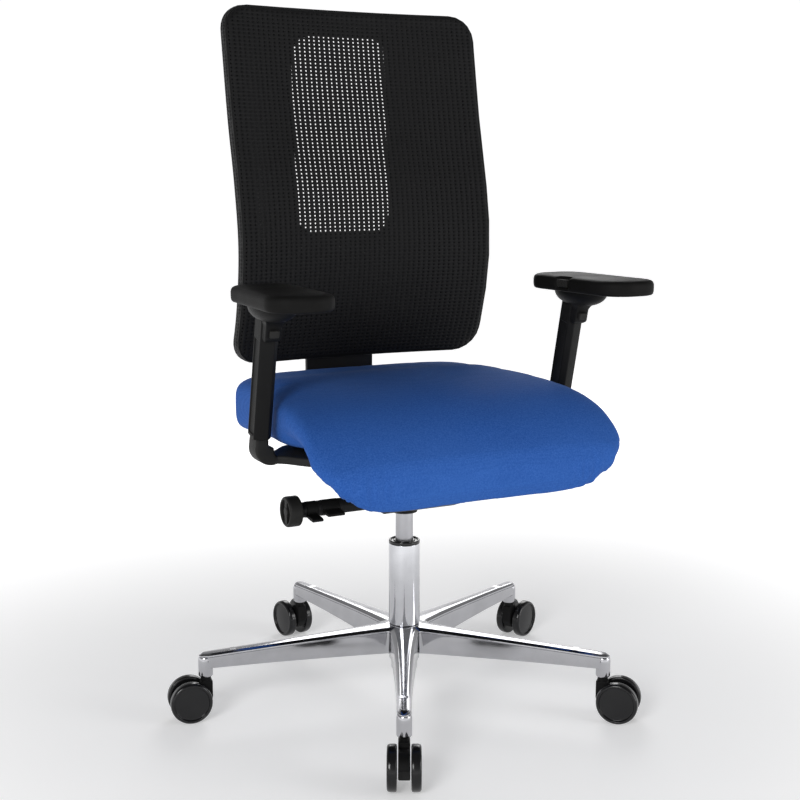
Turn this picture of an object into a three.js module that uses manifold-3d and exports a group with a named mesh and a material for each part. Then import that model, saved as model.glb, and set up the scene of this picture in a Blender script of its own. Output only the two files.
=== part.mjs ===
// Swivel office chair: five-leg base on twin casters, gas lift, synchronous tilt mechanism, upholstered seat,
// mesh back and adjustable armrests. Millimetres, +Z up, origin on the floor under the lift column.
// The sitter faces -Y, so the sitter's right hand is at -X.
import * as THREE from "three";
import { mergeVertices } from "three/addons/utils/BufferGeometryUtils.js";
import Module from "manifold-3d";

const wasm = await Module();
wasm.setup();

// ---------------------------------------------------------------- driving dimensions
const GAP = 0.3; // between pieces that touch on the real chair
const RUNNING = 0.5; // between pieces that slide or turn

const LEGS = 5;
const BASE_TURN = -27; // degrees from the seat's forward direction to the nearest leg
const STEM_RADIUS = 325; // from the column axis to each caster stem
const LEG = { hubTop: 120.5, tipTop: 105, hubUnder: 78, tipUnder: 82, nose: 338 };
const LEG_HALF = [ // distance from the column axis, then half widths: underside, bevelled edge, flat top
  [0, 26.6, 24.4, 15.5], [31, 24.6, 22.6, 13.6], [80, 20.4, 17.6, 10.6], [118, 18, 15.2, 9.1],
  [220, 12.5, 11.4, 6.5], [328, 10.6, 9.6, 6.5],
];
const NOSE_HALF = 11.3;
const BEVEL_DROP = 2.5;
const STEM = { radius: 5.5, top: 100, collar: 7.2 };
const SOCKET_UNDER = 68;

const WHEEL_SIDES = 16;
const WHEEL = { radius: 32.5, width: 14.4, inner: 9.7, axle: 4, trail: 25.5 };
const HOUSING_HALF = 8.4;

const COLUMN = { radius: 25, bore: 23, taper: 21.6, taperBore: 19.4, under: 45, top: 254.5 };
const HUB_BORE = COLUMN.taper + GAP;
const CYLINDER = { radius: 14, under: 106, shoulder: 300, top: 360, bore: 5.6 };
const ROD_RADIUS = 5;

const HOUSING = { half: 62, wall: 4, front: -118, frontUnder: 345, rear: 100, rearUnder: 332 };
const HOUSING_Z = { under: 320, boss: 306, top: 352, brow: 366 };
const MAIN_PIVOT = { y: 30, z: 338, radius: 7 }; // the back carrier turns here
const FRONT_PIVOT = { y: -95, z: 352, radius: 5 }; // the seat carrier turns here
const REAR_PIVOT = { y: 158, z: 372, radius: 5 }; // joins back carrier and seat carrier, in a slot
const SPRING = { y: 70, z: 341.5, coil: 8, wire: 2.4, half: 48, turns: 6 };
const CHEEK = { inner: 66, outer: 74 };
const EAR = { inner: 78, outer: 82 };

const CONTROL = { y: 0, z: 328, tube: 8, ring: 12.5, knob: 23.8, knobOuter: -205, knobInner: -183.5 };
const PADDLE = { reach: 30, thick: 5 };

const CARRIER = { under: 424, top: 429 };
const SHELL = { half: 166, under: 429.4, thick: 9, rear: 205, bend: -125, lipY: -240, lipZ: 376, corner: 75 };
const SEAT = { frontHalf: 254, rearHalf: 217, front: -258, rear: 223, frontCorner: 48, rearCorner: 52 };
const SEAT_TUCK = 0.12; // how far the front's sides draw in below, as a part of the half width

const UPRIGHT = { half: 62, front: 246, rear: 254, under: 384, top: 722 };
const BACK = { half: 222, under: 534, top: 1100, corner: 42, hollow: 22, mesh: 3, depth: 21 };
const BACK_EDGE = [ // height, y of the front edge: a lumbar curve
  [534, 161], [620, 127], [720, 110.5], [820, 123], [930, 149.5], [1100, 180],
];
const WINDOW = { half: 86, under: 741, top: 1060, corner: 30 };
const GUIDE = { half: 74, foot: 190, front: 214, rear: 264, under: 582, top: 706 };

const ARM_X = 260;
const ARM_LEAN = 13; // degrees, post leaning forward
const ARM_FOOT = { y: -41, z: 459 }; // the sleeve's lower end at rest
const SLEEVE = { halfX: 13.5, halfY: 20, bevel: 7.5, length: 184 };
const BUTTON_HOUSING = { half: 11, front: -27.5, from: 158 }; // on the sleeve's front, under the bowl
const ARM_BRACKET = { under: 416, top: 428.8, inner: 112 };
const SUPPORT = { y: -102, z: 658, halfX: 31, halfY: 58, depth: 25 };
const PAD = { y: -133, halfX: 48.5, halfY: 114, thick: 24, toeOut: 3.3 };

// ---------------------------------------------------------------- materials
function finish(color, roughness, metalness) {
  return new THREE.MeshStandardMaterial({ color, roughness, metalness });
}

const POLISHED = finish(0xd8d9de, 0.15, 1);
const CHROME = finish(0xc9cad0, 0.1, 1);
const SATIN_STEEL = finish(0x9c9ca2, 0.35, 1);
const DARK_STEEL = finish(0x2a2b2d, 0.5, 0.7);
const BLACK_PLASTIC = finish(0x17181a, 0.55, 0);
const GLOSS_BLACK = finish(0x0e0e10, 0.3, 0);
const GREY_PLASTIC = finish(0x2d2e30, 0.6, 0);
const SOFT_BLACK = finish(0x141516, 0.6, 0);
const MESH_BLACK = finish(0x101113, 0.9, 0);
const BLUE_FABRIC = finish(0x1f56b4, 0.85, 0);

// ---------------------------------------------------------------- solid helpers
const rad = THREE.MathUtils.degToRad;
const mix = THREE.MathUtils.lerp;

// A closed three.js geometry as a solid, turned right side out.
function solid(geometry) {
  const bare = new THREE.BufferGeometry();
  bare.setAttribute("position", geometry.getAttribute("position"));
  if (geometry.index) bare.setIndex(geometry.index);
  const merged = mergeVertices(bare, 1e-4);
  const vertProperties = new Float32Array(merged.getAttribute("position").array);
  const triVerts = new Uint32Array(merged.index.array);
  const make = () => new wasm.Manifold(new wasm.Mesh({ numProp: 3, vertProperties, triVerts }));
  const made = make();
  if (made.volume() > 0) return made;
  for (let i = 0; i < triVerts.length; i += 3) {
    [triVerts[i + 1], triVerts[i + 2]] = [triVerts[i + 2], triVerts[i + 1]];
  }
  return make();
}

function geometryOf(body) {
  const { vertProperties, triVerts, numProp } = body.getMesh();
  const count = vertProperties.length / numProp;
  const position = new Float32Array(count * 3);
  for (let i = 0; i < count; i++) {
    position.set(vertProperties.subarray(i * numProp, i * numProp + 3), i * 3);
  }
  const geometry = new THREE.BufferGeometry();
  geometry.setAttribute("position", new THREE.BufferAttribute(position, 3));
  geometry.setIndex(new THREE.BufferAttribute(new Uint32Array(triVerts), 1));
  geometry.computeVertexNormals();
  return geometry;
}

const join = (first, ...rest) => rest.reduce((whole, piece) => whole.add(piece), first);
const cut = (body, ...tools) => tools.reduce((whole, tool) => whole.subtract(tool), body);

// A box between two corners.
function block(x0, x1, y0, y1, z0, z1) {
  const box = new THREE.BoxGeometry(x1 - x0, y1 - y0, z1 - z0);
  return solid(box.translate((x0 + x1) / 2, (y0 + y1) / 2, (z0 + z1) / 2));
}

// A round bar along X, Y or Z, between two places on that axis, through point at.
function bar(axis, radius, from, to, at, sides = 20) {
  const cylinder = new THREE.CylinderGeometry(radius, radius, to - from, sides);
  if (axis === "x") cylinder.rotateZ(-Math.PI / 2);
  if (axis === "z") cylinder.rotateX(Math.PI / 2);
  const middle = (from + to) / 2;
  const [u, v] = at;
  if (axis === "x") cylinder.translate(middle, u, v);
  if (axis === "y") cylinder.translate(u, middle, v);
  if (axis === "z") cylinder.translate(u, v, middle);
  return solid(cylinder);
}

// A profile of [radius, height] points turned about the Z axis.
function turned(points, sides = 24) {
  const profile = points.map(([r, h]) => new THREE.Vector2(r, h));
  if (points[0][0] !== 0) profile.push(profile[0].clone());
  return solid(new THREE.LatheGeometry(profile, sides).rotateX(Math.PI / 2));
}

const outline = (points) => new THREE.Shape(points.map(([u, v]) => new THREE.Vector2(u, v)));

// A rectangle with round corners, centred on (u, v).
function roundedOutline(halfU, halfV, corner, u = 0, v = 0, steps = 5) {
  const points = [];
  for (let quarter = 0; quarter < 4; quarter++) {
    const cu = u + (quarter === 0 || quarter === 3 ? 1 : -1) * (halfU - corner);
    const cv = v + (quarter < 2 ? 1 : -1) * (halfV - corner);
    for (let i = 0; i <= steps; i++) {
      const a = ((quarter + i / steps) * Math.PI) / 2;
      points.push([cu + corner * Math.cos(a), cv + corner * Math.sin(a)]);
    }
  }
  return outline(points);
}

const extruded = (shape, depth) => new THREE.ExtrudeGeometry(shape, { depth, bevelEnabled: false });
// Outlines drawn in (x, y), (x, z) and (y, z), thickened along the third axis.
const slabZ = (shape, z0, z1) => solid(extruded(shape, z1 - z0).translate(0, 0, z0));
const slabY = (shape, y0, y1) => solid(extruded(shape, y1 - y0).rotateX(Math.PI / 2).translate(0, y1, 0));
function slabX(shape, x0, x1) {
  const turn = new THREE.Matrix4().makeBasis(
    new THREE.Vector3(0, 1, 0), new THREE.Vector3(0, 0, 1), new THREE.Vector3(1, 0, 0));
  return solid(extruded(shape, x1 - x0).applyMatrix4(turn).translate(x0, 0, 0));
}

// The same (y, z) plate on both sides of the chair.
const bothSides = (shape, { inner, outer }) => [slabX(shape, -outer, -inner), slabX(shape, inner, outer)];

// A closed skin over rings of equally many points, with a flat fan at both ends.
function loft(rings) {
  const count = rings[0].length;
  const position = [];
  const index = [];
  rings.forEach((ring) => ring.forEach((p) => position.push(...p)));
  const at = (i, k) => i * count + (k % count);
  for (let i = 0; i + 1 < rings.length; i++) {
    for (let k = 0; k < count; k++) {
      index.push(at(i, k), at(i, k + 1), at(i + 1, k));
      index.push(at(i, k + 1), at(i + 1, k + 1), at(i + 1, k));
    }
  }
  [0, rings.length - 1].forEach((i) => {
    const centre = position.length / 3;
    const sum = rings[i].reduce((s, p) => s.map((v, n) => v + p[n] / count), [0, 0, 0]);
    position.push(...sum);
    for (let k = 0; k < count; k++) {
      const edge = [at(i, k), at(i, k + 1)];
      index.push(centre, ...(i === 0 ? edge.reverse() : edge));
    }
  });
  const geometry = new THREE.BufferGeometry();
  geometry.setAttribute("position", new THREE.BufferAttribute(new Float32Array(position), 3));
  geometry.setIndex(index);
  return solid(geometry);
}

// A curved sheet: front face y = face(x, z), thickness towards +Y.
function sheet(face, thick, half, z0, z1, columns, rows) {
  const rings = [];
  for (let i = 0; i <= rows; i++) {
    const z = mix(z0, z1, i / rows);
    const across = Array.from({ length: columns + 1 }, (_, k) => mix(-half, half, k / columns));
    const front = across.map((x) => [x, face(x, z), z]);
    const rear = across.reverse().map((x) => [x, face(x, z) + thick, z]);
    rings.push([...front, ...rear]);
  }
  return loft(rings);
}

const chair = new THREE.Group();

function add(name, body, material, group = chair) {
  const mesh = new THREE.Mesh(geometryOf(body), material);
  mesh.name = name;
  group.add(mesh);
  return mesh;
}

// ---------------------------------------------------------------- base
// One leg along -Y: a flat top with bevelled edges, and sides that spread towards the underside.
function legSection([out, base, edge, flat]) {
  const t = out / (LEG.nose - 10);
  const top = mix(LEG.hubTop, LEG.tipTop, t);
  const under = mix(LEG.hubUnder, LEG.tipUnder, t);
  const right = [[base, under], [edge, top - BEVEL_DROP], [flat, top]];
  const left = right.map(([x, z]) => [-x, z]).reverse();
  return [...right, ...left].map(([x, z]) => [x, -out, z]);
}

function leg() {
  const beam = loft(LEG_HALF.map(legSection));
  const nose = bar("z", NOSE_HALF, SOCKET_UNDER, LEG.tipTop - 3, [0, -STEM_RADIUS], 16);
  const channel = loft([
    [[9, -60, 60], [9, -60, 108], [-9, -60, 108], [-9, -60, 60]],
    [[5, -290, 60], [5, -290, 96], [-5, -290, 96], [-5, -290, 60]],
  ]);
  return join(cut(beam, channel), nose);
}

function buildBase() {
  const group = new THREE.Group();
  group.rotation.z = rad(BASE_TURN);
  chair.add(group);

  let star = turned([[0, 60], [24.6, 60], [25, 82], [0, 82]], 30);
  for (let k = 0; k < LEGS; k++) star = star.add(leg().rotate([0, 0, (k * 360) / LEGS]));
  star = star.subtract(bar("z", HUB_BORE, 50, 130, [0, 0], 30));
  for (let k = 0; k < LEGS; k++) {
    const socket = bar("z", STEM.radius + RUNNING, 60, STEM.top + 1, [0, -STEM_RADIUS], 12);
    star = star.subtract(socket.rotate([0, 0, (k * 360) / LEGS]));
  }
  add("base_star", star, POLISHED, group);

  const { radius, bore, taper, taperBore, under, top } = COLUMN;
  const seat = LEG.hubTop + GAP;
  add("column_tube", turned([
    [ROD_RADIUS + RUNNING, under], [taper, under], [taper, seat], [radius, seat], [radius, top],
    [bore, top], [bore, seat + 6], [taperBore, seat], [taperBore, under + 4],
    [ROD_RADIUS + RUNNING, under + 4],
  ], 30), CHROME, group);
  const inside = CYLINDER.radius + RUNNING;
  add("guide_bush", turned([
    [inside, 176], [bore - GAP, 176], [bore - GAP, top + GAP], [radius, top + GAP],
    [radius, top + 4.4], [radius - 1, top + 5.4], [inside, top + 5.4],
  ], 30), GLOSS_BLACK, group);
  add("thrust_bearing", turned([
    [ROD_RADIUS + RUNNING, under + 4 + GAP], [13, under + 4 + GAP], [13, under + 11],
    [ROD_RADIUS + RUNNING, under + 11],
  ], 20), SATIN_STEEL, group);
  return group;
}

// ---------------------------------------------------------------- casters
// Built with the stem on the Z axis and the wheels trailing towards -Y.
function casterHousing() {
  const { trail, radius, axle, inner } = WHEEL;
  const hood = new THREE.Shape();
  hood.moveTo(9.5, 61.5);
  hood.lineTo(9.5, 34);
  hood.lineTo(2, 21);
  hood.absarc(-trail, radius, 17, -0.6, -2.2, true);
  hood.absarc(-trail, radius, 24.5, 2.9, 1.05, true);
  hood.lineTo(-8.5, 61.5);
  const body = slabX(new THREE.Shape(hood.getPoints(3)), -HOUSING_HALF, HOUSING_HALF);
  const axlePin = bar("x", axle, -inner - 10, inner + 10, [-trail, radius], 12);
  const socket = bar("z", STEM.radius + GAP, 38, 70, [0, 0], 12);
  return cut(join(body, axlePin), socket);
}

// The wheel stands on a flat of its many-sided tread.
function casterWheel() {
  const { width, inner, axle } = WHEEL;
  const radius = WHEEL.radius / Math.cos(Math.PI / WHEEL_SIDES);
  const outer = inner + width;
  const bore = axle + RUNNING;
  return turned([
    [0, outer - 1.4], [radius - 7, outer - 1.4], [radius - 5.6, outer], [radius - 3, outer],
    [radius, outer - 3.4], [radius, inner], [bore, inner], [bore, outer - 3.2], [0, outer - 3.2],
  ], WHEEL_SIDES).rotate([0, 0, 180 / WHEEL_SIDES]).rotate([0, 90, 0]);
}

function buildCasters(base) {
  for (let k = 0; k < LEGS; k++) {
    const spoke = new THREE.Group();
    spoke.rotation.z = rad((k * 360) / LEGS);
    const caster = new THREE.Group();
    caster.position.y = -STEM_RADIUS;
    spoke.add(caster);
    base.add(spoke);

    const name = `caster_${k + 1}`;
    add(`${name}_stem`, join(
      bar("z", STEM.radius, 39, STEM.top, [0, 0], 12),
      bar("z", STEM.collar, 62, SOCKET_UNDER - GAP, [0, 0], 12),
    ), SATIN_STEEL, caster);
    add(`${name}_housing`, casterHousing(), BLACK_PLASTIC, caster);
    for (const side of [-1, 1]) {
      const mesh = add(`${name}_wheel_${side < 0 ? "a" : "b"}`, casterWheel(), GLOSS_BLACK, caster);
      mesh.position.set(0, -WHEEL.trail, WHEEL.radius);
      mesh.scale.x = side;
    }
  }
}

// ---------------------------------------------------------------- gas lift
function buildLift() {
  const clipZ = COLUMN.under - GAP;
  const rod = turned([
    [0, clipZ - 5], [ROD_RADIUS, clipZ - 5], [ROD_RADIUS, clipZ - 3], [3.6, clipZ - 3], [3.6, clipZ],
    [ROD_RADIUS, clipZ], [ROD_RADIUS, 214], [0, 214],
  ], 16);
  add("piston_rod", rod, CHROME);
  const clip = turned([[3.9, clipZ - 2.7], [9, clipZ - 2.7], [9, clipZ - 0.6], [3.9, clipZ - 0.6]], 16);
  add("retaining_clip", cut(clip, block(-2.6, 2.6, 0, 12, 30, 60)), DARK_STEEL);

  const { radius, under, shoulder, top, bore } = CYLINDER;
  add("gas_cylinder", turned([
    [0, 296], [bore, 296], [bore, under], [radius, under], [radius, shoulder], [radius - 1, top],
    [4, top], [4, top - 12], [0, top - 12],
  ], 24), SATIN_STEEL);
  add("valve_pin", turned([[0, top - 9], [3, top - 9], [3, top + 8], [0, top + 8]], 12), CHROME);
}

// ---------------------------------------------------------------- tilt mechanism
function buildMechanism() {
  const { half, wall, front, frontUnder, rear, rearUnder } = HOUSING;
  const { under, boss, top, brow } = HOUSING_Z;
  const side = outline([
    [front, frontUnder], [-52, under], [52, under], [rear, rearUnder], [rear, top],
    [-66, top], [-78, brow], [front, brow],
  ]);
  const hollow = outline([
    [front + wall, frontUnder + wall], [-52, under + wall], [52, under + wall],
    [rear - wall, rearUnder + wall], [rear - wall, brow + 10], [front + wall, brow + 10],
  ]);
  const tub = slabX(side, -half, half);
  const hubBoss = bar("z", 21, boss, top - 6, [0, 0], 24);
  const rib = block(-half + 1, half - 1, -46, -40, under + 2, top - 2);
  const shell = join(cut(tub, slabX(hollow, -half + wall, half - wall)), hubBoss, rib);
  const taper = turned([
    [0, 290], [CYLINDER.radius + GAP, 290], [CYLINDER.radius + GAP, CYLINDER.shoulder],
    [CYLINDER.radius - 1 + GAP, CYLINDER.top], [0, CYLINDER.top],
  ], 24);
  const housing = cut(shell, taper,
    bar("x", MAIN_PIVOT.radius + GAP, -90, 90, [MAIN_PIVOT.y, MAIN_PIVOT.z], 20),
    bar("x", FRONT_PIVOT.radius + GAP, -90, 90, [FRONT_PIVOT.y, FRONT_PIVOT.z], 16));
  add("mechanism_housing", housing, DARK_STEEL);

  add("main_pivot_shaft",
    bar("x", MAIN_PIVOT.radius, -76, 76, [MAIN_PIVOT.y, MAIN_PIVOT.z], 20), SATIN_STEEL);
  add("front_pivot_shaft",
    bar("x", FRONT_PIVOT.radius, -86, 86, [FRONT_PIVOT.y, FRONT_PIVOT.z], 16), SATIN_STEEL);
  buildSpring();
  buildBackCarrier();
  buildSeatCarrier();
}

// The tilt spring lies across the rear of the housing, behind the main pivot.
function buildSpring() {
  const { coil, wire, half, y, z, turns } = SPRING;
  const perTurn = 8, sides = 5;
  const rings = Array.from({ length: turns * perTurn + 1 }, (_, i) => {
    const a = (i / perTurn) * 2 * Math.PI;
    const x = mix(-half, half, i / (turns * perTurn));
    return Array.from({ length: sides }, (_, k) => {
      const b = (k / sides) * 2 * Math.PI;
      const r = coil + wire * Math.cos(b);
      return [x + wire * Math.sin(b), y + r * Math.cos(a), z + r * Math.sin(a)];
    });
  });
  add("tilt_spring", loft(rings), SATIN_STEEL);
}

// Two cheeks from the main pivot run back under the seat, meet in a cross plate and carry the flat upright.
function buildBackCarrier() {
  const { y, z, radius } = MAIN_PIVOT;
  const { half, front, rear, under, top } = UPRIGHT;
  const cheek = new THREE.Shape();
  cheek.absarc(y, z, 14, rad(80), rad(280), false);
  cheek.lineTo(120, 330);
  cheek.lineTo(232, 372);
  cheek.lineTo(246, 392);
  cheek.lineTo(232, 400);
  cheek.lineTo(REAR_PIVOT.y, REAR_PIVOT.z + 13);
  const cheekOutline = new THREE.Shape(cheek.getPoints(5));
  const cheeks = bothSides(cheekOutline, CHEEK);
  const floor = outline([
    [200, 366], [232, 378], [rear, 400], [front, 404], [226, 387], [200, 377],
  ]);
  const plate = slabX(floor, -CHEEK.outer, CHEEK.outer);
  const upright = slabY(roundedOutline(half, (top - under) / 2, 8, 0, (top + under) / 2, 3), front, rear);
  const rib = slabX(outline([[234, 384], [247, 400], [247, 470], [243, 470]]), -6, 6);
  const notches = Array.from({ length: 6 }, (_, i) =>
    block(-7, 7, front - 1, front + 3, 600 + i * 14, 606 + i * 14));
  const body = cut(join(...cheeks, plate, upright, rib), ...notches,
    bar("x", radius + RUNNING, -90, 90, [y, z], 20),
    bar("x", REAR_PIVOT.radius + GAP, -90, 90, [REAR_PIVOT.y, REAR_PIVOT.z], 16));
  add("back_carrier", body, DARK_STEEL);
  add("rear_pivot_shaft",
    bar("x", REAR_PIVOT.radius, -87, 87, [REAR_PIVOT.y, REAR_PIVOT.z], 16), SATIN_STEEL);
}

// A plate under the seat shell with an ear on each side, which turns on the front pivot
// and holds the rear pivot in a slot long enough for the two arcs to differ.
function buildSeatCarrier() {
  const { under, top } = CARRIER;
  const plate = slabZ(outline([[-95, -118], [95, -118], [95, 178], [-95, 178]]), under, top);
  const ear = outline([
    [-112, 352], [-104, 340], [-86, 340], [-76, 352], [-40, 408], [110, 408], [136, 360], [146, 354],
    [172, 354], [182, 364], [182, 404], [176, under + 1], [-112, under + 1],
  ]);
  const ears = bothSides(ear, EAR);
  const slot = slabX(roundedOutline(15, 9.5, 9, REAR_PIVOT.y + 1, REAR_PIVOT.z + 1.5, 4), -90, 90);
  const body = cut(join(plate, ...ears),
    bar("x", FRONT_PIVOT.radius + RUNNING, -90, 90, [FRONT_PIVOT.y, FRONT_PIVOT.z], 16), slot);
  add("seat_carrier", body, DARK_STEEL);
}

// ---------------------------------------------------------------- controls on the sitter's right
function paddleLever(x0, x1, drop) {
  const { y, z, tube, ring } = CONTROL;
  const collar = bar("x", ring, x0, x1, [y, z], 20);
  const { reach, thick } = PADDLE;
  const low = z - drop;
  const side = outline([
    [y + 2, z - 9], [y - 8, low - 1], [y - reach, low - 3], [y - reach - 2, low],
    [y - reach, low - 3 + thick], [y - 9, low + thick - 1], [y + 2, z - 9 + thick],
  ]);
  const blade = slabX(side, x0, x1);
  return cut(join(collar, blade), bar("x", tube + RUNNING, x0 - 1, x1 + 1, [y, z], 20));
}

function buildControls() {
  const { y, z, tube, knob, knobOuter, knobInner } = CONTROL;
  const at = [y, z];
  // Spacers as wide as the levers' collars fill the tube's length beside and between them.
  const spacers = [[-181, -172.5], [-153.5, -146.5], [-117.5, -HOUSING.half - GAP]]
    .map(([from, to]) => bar("x", 12, from, to, at, 20));
  add("control_tube", cut(
    join(bar("x", tube, -180, -HOUSING.half - GAP, at, 20), ...spacers),
    bar("x", tube - 2.5, -182, -60, at, 16)), DARK_STEEL);
  add("tilt_lever", paddleLever(-172, -154, 10.5), BLACK_PLASTIC);
  add("height_lever", paddleLever(-146, -118, 5), BLACK_PLASTIC);
  add("tension_shaft", bar("x", 4.5, -194, -HOUSING.half - 2, at, 12), SATIN_STEEL);
  const deep = knobInner - knobOuter;
  const cup = turned([
    [0, deep - 3], [knob - 6, deep - 3], [knob - 5, deep], [knob - 1.5, deep], [knob, deep - 1.5],
    [knob, 2.5], [knob - 1.5, 0], [tube + 2, 0], [tube + 2, 3], [0, 3],
  ], 24).rotate([0, -90, 0]).translate([knobInner, y, z]);
  const recess = bar("x", knob - 5.5, knobOuter - 1, knobOuter + 9, at, 24);
  const grip = slabX(roundedOutline(knob - 4, 4.5, 4, y, z, 3), knobOuter + 0.5, knobOuter + 12);
  const boss = bar("x", 7.5, knobOuter + 0.5, knobOuter + 12, at, 16);
  const shaftHole = bar("x", 4.5 + GAP, -194.4, -170, at, 12);
  add("tension_knob", cut(join(cut(cup, recess), grip, boss), shaftHole), GREY_PLASTIC);
}

// ---------------------------------------------------------------- seat
// The shell's side view: flat, then curved down at the front into a lip. A floor fills all that is below it.
function shellOutline(grow, floor) {
  const { under, thick, rear, bend, lipY, lipZ } = SHELL;
  const z0 = under - grow, z1 = under + thick + grow;
  const curve = (offset) => new THREE.QuadraticBezierCurve(
    new THREE.Vector2(bend, under + offset),
    new THREE.Vector2(lipY + 38 - offset, under - 4 + offset),
    new THREE.Vector2(lipY - offset * 0.8, lipZ + offset * 0.4)).getPoints(5);
  const upper = curve(thick + grow).map((p) => [p.x, p.y]).reverse();
  const lower = floor ? [[rear + grow, floor], [upper[0][0], floor]]
    : [[rear + grow, z0], ...curve(-grow).map((p) => [p.x, p.y])];
  return outline([...lower, ...upper, [rear + grow, z1]]);
}

// Height of the cushion's crown, of its underside, and its half width, along the seat's depth.
const crown = new THREE.SplineCurve([
  [-258, 424], [-247, 450], [-208, 484], [-156, 508], [-86, 520.5], [12, 525], [108, 523], [180, 517],
  [214, 501], [223, 474],
].map(([y, z]) => new THREE.Vector2(y, z)));
const underside = new THREE.SplineCurve([
  [-258, 398], [-244, 370], [-220, 381], [-184, 415], [-120, 433], [0, 430], [120, 421], [205, 415],
  [223, 440],
].map(([y, z]) => new THREE.Vector2(y, z)));

function heightAt(spline, y) {
  const points = spline.getPoints(120);
  const k = points.findIndex((p) => p.x >= y);
  if (k <= 0) return points[k < 0 ? points.length - 1 : 0].y;
  const a = points[k - 1], b = points[k];
  return mix(a.y, b.y, (y - a.x) / (b.x - a.x));
}

// The plan widens from the rear to the front, with a quarter round at each corner.
function cushionHalf(y) {
  const { frontHalf, rearHalf, front, rear, frontCorner, rearCorner } = SEAT;
  const straight = mix(frontHalf, rearHalf, THREE.MathUtils.smoothstep(y, front, rear));
  const inset = (corner, past) => {
    const along = Math.min(1, Math.max(0, past / corner));
    return corner * (1 - Math.sqrt(1 - along ** 2));
  };
  return straight - inset(frontCorner, front + frontCorner - y) - inset(rearCorner, y - rear + rearCorner);
}

// A sine or cosine made squarer, for a section between an ellipse and a rectangle.
const squared = (v) => Math.sign(v) * Math.abs(v) ** 0.38;

// Square at the rear; towards the front it is widest higher up and its lower edges draw in.
function cushionSection(y) {
  const half = cushionHalf(y);
  const forward = THREE.MathUtils.smoothstep(-y, 20, 190);
  const top = heightAt(crown, y), under = heightAt(underside, y);
  const widest = mix(under, top, 0.5 + 0.12 * forward);
  const sides = 24;
  return Array.from({ length: sides }, (_, k) => {
    const a = (k / sides) * 2 * Math.PI;
    const across = squared(Math.cos(a)), up = squared(Math.sin(a));
    const tuck = SEAT_TUCK * forward * THREE.MathUtils.smoothstep(-up, 0, 0.6);
    const rise = up > 0 ? top - widest : widest - under;
    return [half * across * (1 - tuck), y, widest + rise * up];
  });
}

function buildSeat() {
  const { half, rear, corner, under } = SHELL;
  const depth = rear - SEAT.front;
  const plan = slabZ(roundedOutline(half, depth / 2, corner, 0, rear - depth / 2, 6), 350, under + 40);
  add("seat_shell", slabX(shellOutline(0), -half, half).intersect(plan), BLACK_PLASTIC);
  const stations = [-257.5, -254, -247, -233, -206, -170, -130, -80, 0, 80, 140, 180, 204, 216, 222.5];
  const foam = loft(stations.map(cushionSection));
  const bed = slabX(shellOutline(0.6, 340), -half - 0.6, half + 0.6);
  const feet = block(-300, 300, -122, 30, 380, ARM_BRACKET.top + 0.7);
  add("seat_cushion", cut(foam, bed, feet), BLUE_FABRIC);
}

// ---------------------------------------------------------------- back
const edgeCurve = new THREE.SplineCurve(BACK_EDGE.map(([z, y]) => new THREE.Vector2(z, y)));
const edgeY = (z) => heightAt(edgeCurve, z);
// The mesh is stretched in a shallow hollow between the side edges.
const meshFace = (x, z) => edgeY(z) + BACK.hollow * (1 - Math.min(1, (x / BACK.half) ** 2));
// The shell behind it runs from the frame's rear edge to a flatter middle further back.
function shellFace(x, z) {
  const rim = meshFace(x, z) + BACK.mesh + BACK.depth + 2 * GAP;
  const middle = 222 + (z - 744) * 0.07;
  const t = THREE.MathUtils.smoothstep(BACK.half - Math.abs(x), 28, 105);
  const ends = THREE.MathUtils.smoothstep(Math.min(z - BACK.under, BACK.top - z), 14, 70);
  return Math.max(rim, mix(rim, middle, t * ends));
}

function backOutline(inset, corner = BACK.corner - inset) {
  const { half, under, top } = BACK;
  return roundedOutline(half - inset, (top - under) / 2 - inset, corner, 0, (top + under) / 2);
}

function buildBack() {
  const rows = 10;
  const wide = BACK.half + 5, low = BACK.under - 5, high = BACK.top + 5;
  const mesh = sheet(meshFace, BACK.mesh, wide, low, high, 8, rows).intersect(slabY(backOutline(0), 50, 300));
  add("back_mesh", mesh, MESH_BLACK);

  const ringFace = (x, z) => meshFace(x, z) + BACK.mesh + GAP;
  const ring = sheet(ringFace, BACK.depth, wide, low, high, 8, rows)
    .intersect(slabY(backOutline(0.5), 50, 300)).subtract(slabY(backOutline(24, 22), 50, 300));
  add("back_frame", ring, BLACK_PLASTIC);

  const shell = sheet(shellFace, 4, wide, low, high, 12, rows)
    .intersect(slabY(backOutline(2), 50, 320));
  const windowOutline = roundedOutline(
    WINDOW.half, (WINDOW.top - WINDOW.under) / 2, WINDOW.corner, 0, (WINDOW.top + WINDOW.under) / 2);
  const { half, foot, front, rear, under, top } = GUIDE;
  const guideRoom = block(-half - GAP, half + GAP, foot - 20, 320, under - GAP, top + GAP);
  const uprightRoom = block(-UPRIGHT.half - 3, UPRIGHT.half + 3, UPRIGHT.front - 3, 320, 400, 860);
  add("back_shell", cut(shell, slabY(windowOutline, 100, 320), guideRoom, uprightRoom), BLACK_PLASTIC);

  // A box set in the shell, hollow in front of the way that the upright slides in.
  const side = outline([[foot, under], [rear, under], [rear, top], [front, top], [front, under + 56]]);
  const guide = slabX(side, -half, half).intersect(
    slabY(roundedOutline(half, (top - under) / 2, 10, 0, (top + under) / 2, 3), foot - 1, rear + 1));
  const way = block(-UPRIGHT.half - RUNNING, UPRIGHT.half + RUNNING,
    UPRIGHT.front - RUNNING, UPRIGHT.rear + RUNNING, under - 5, top + 5);
  const hollow = block(-half + 4, half - 4, foot - 1, UPRIGHT.front - 4, under + 4, top - 4);
  add("height_guide", cut(guide, way, hollow), BLACK_PLASTIC);
}

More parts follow.
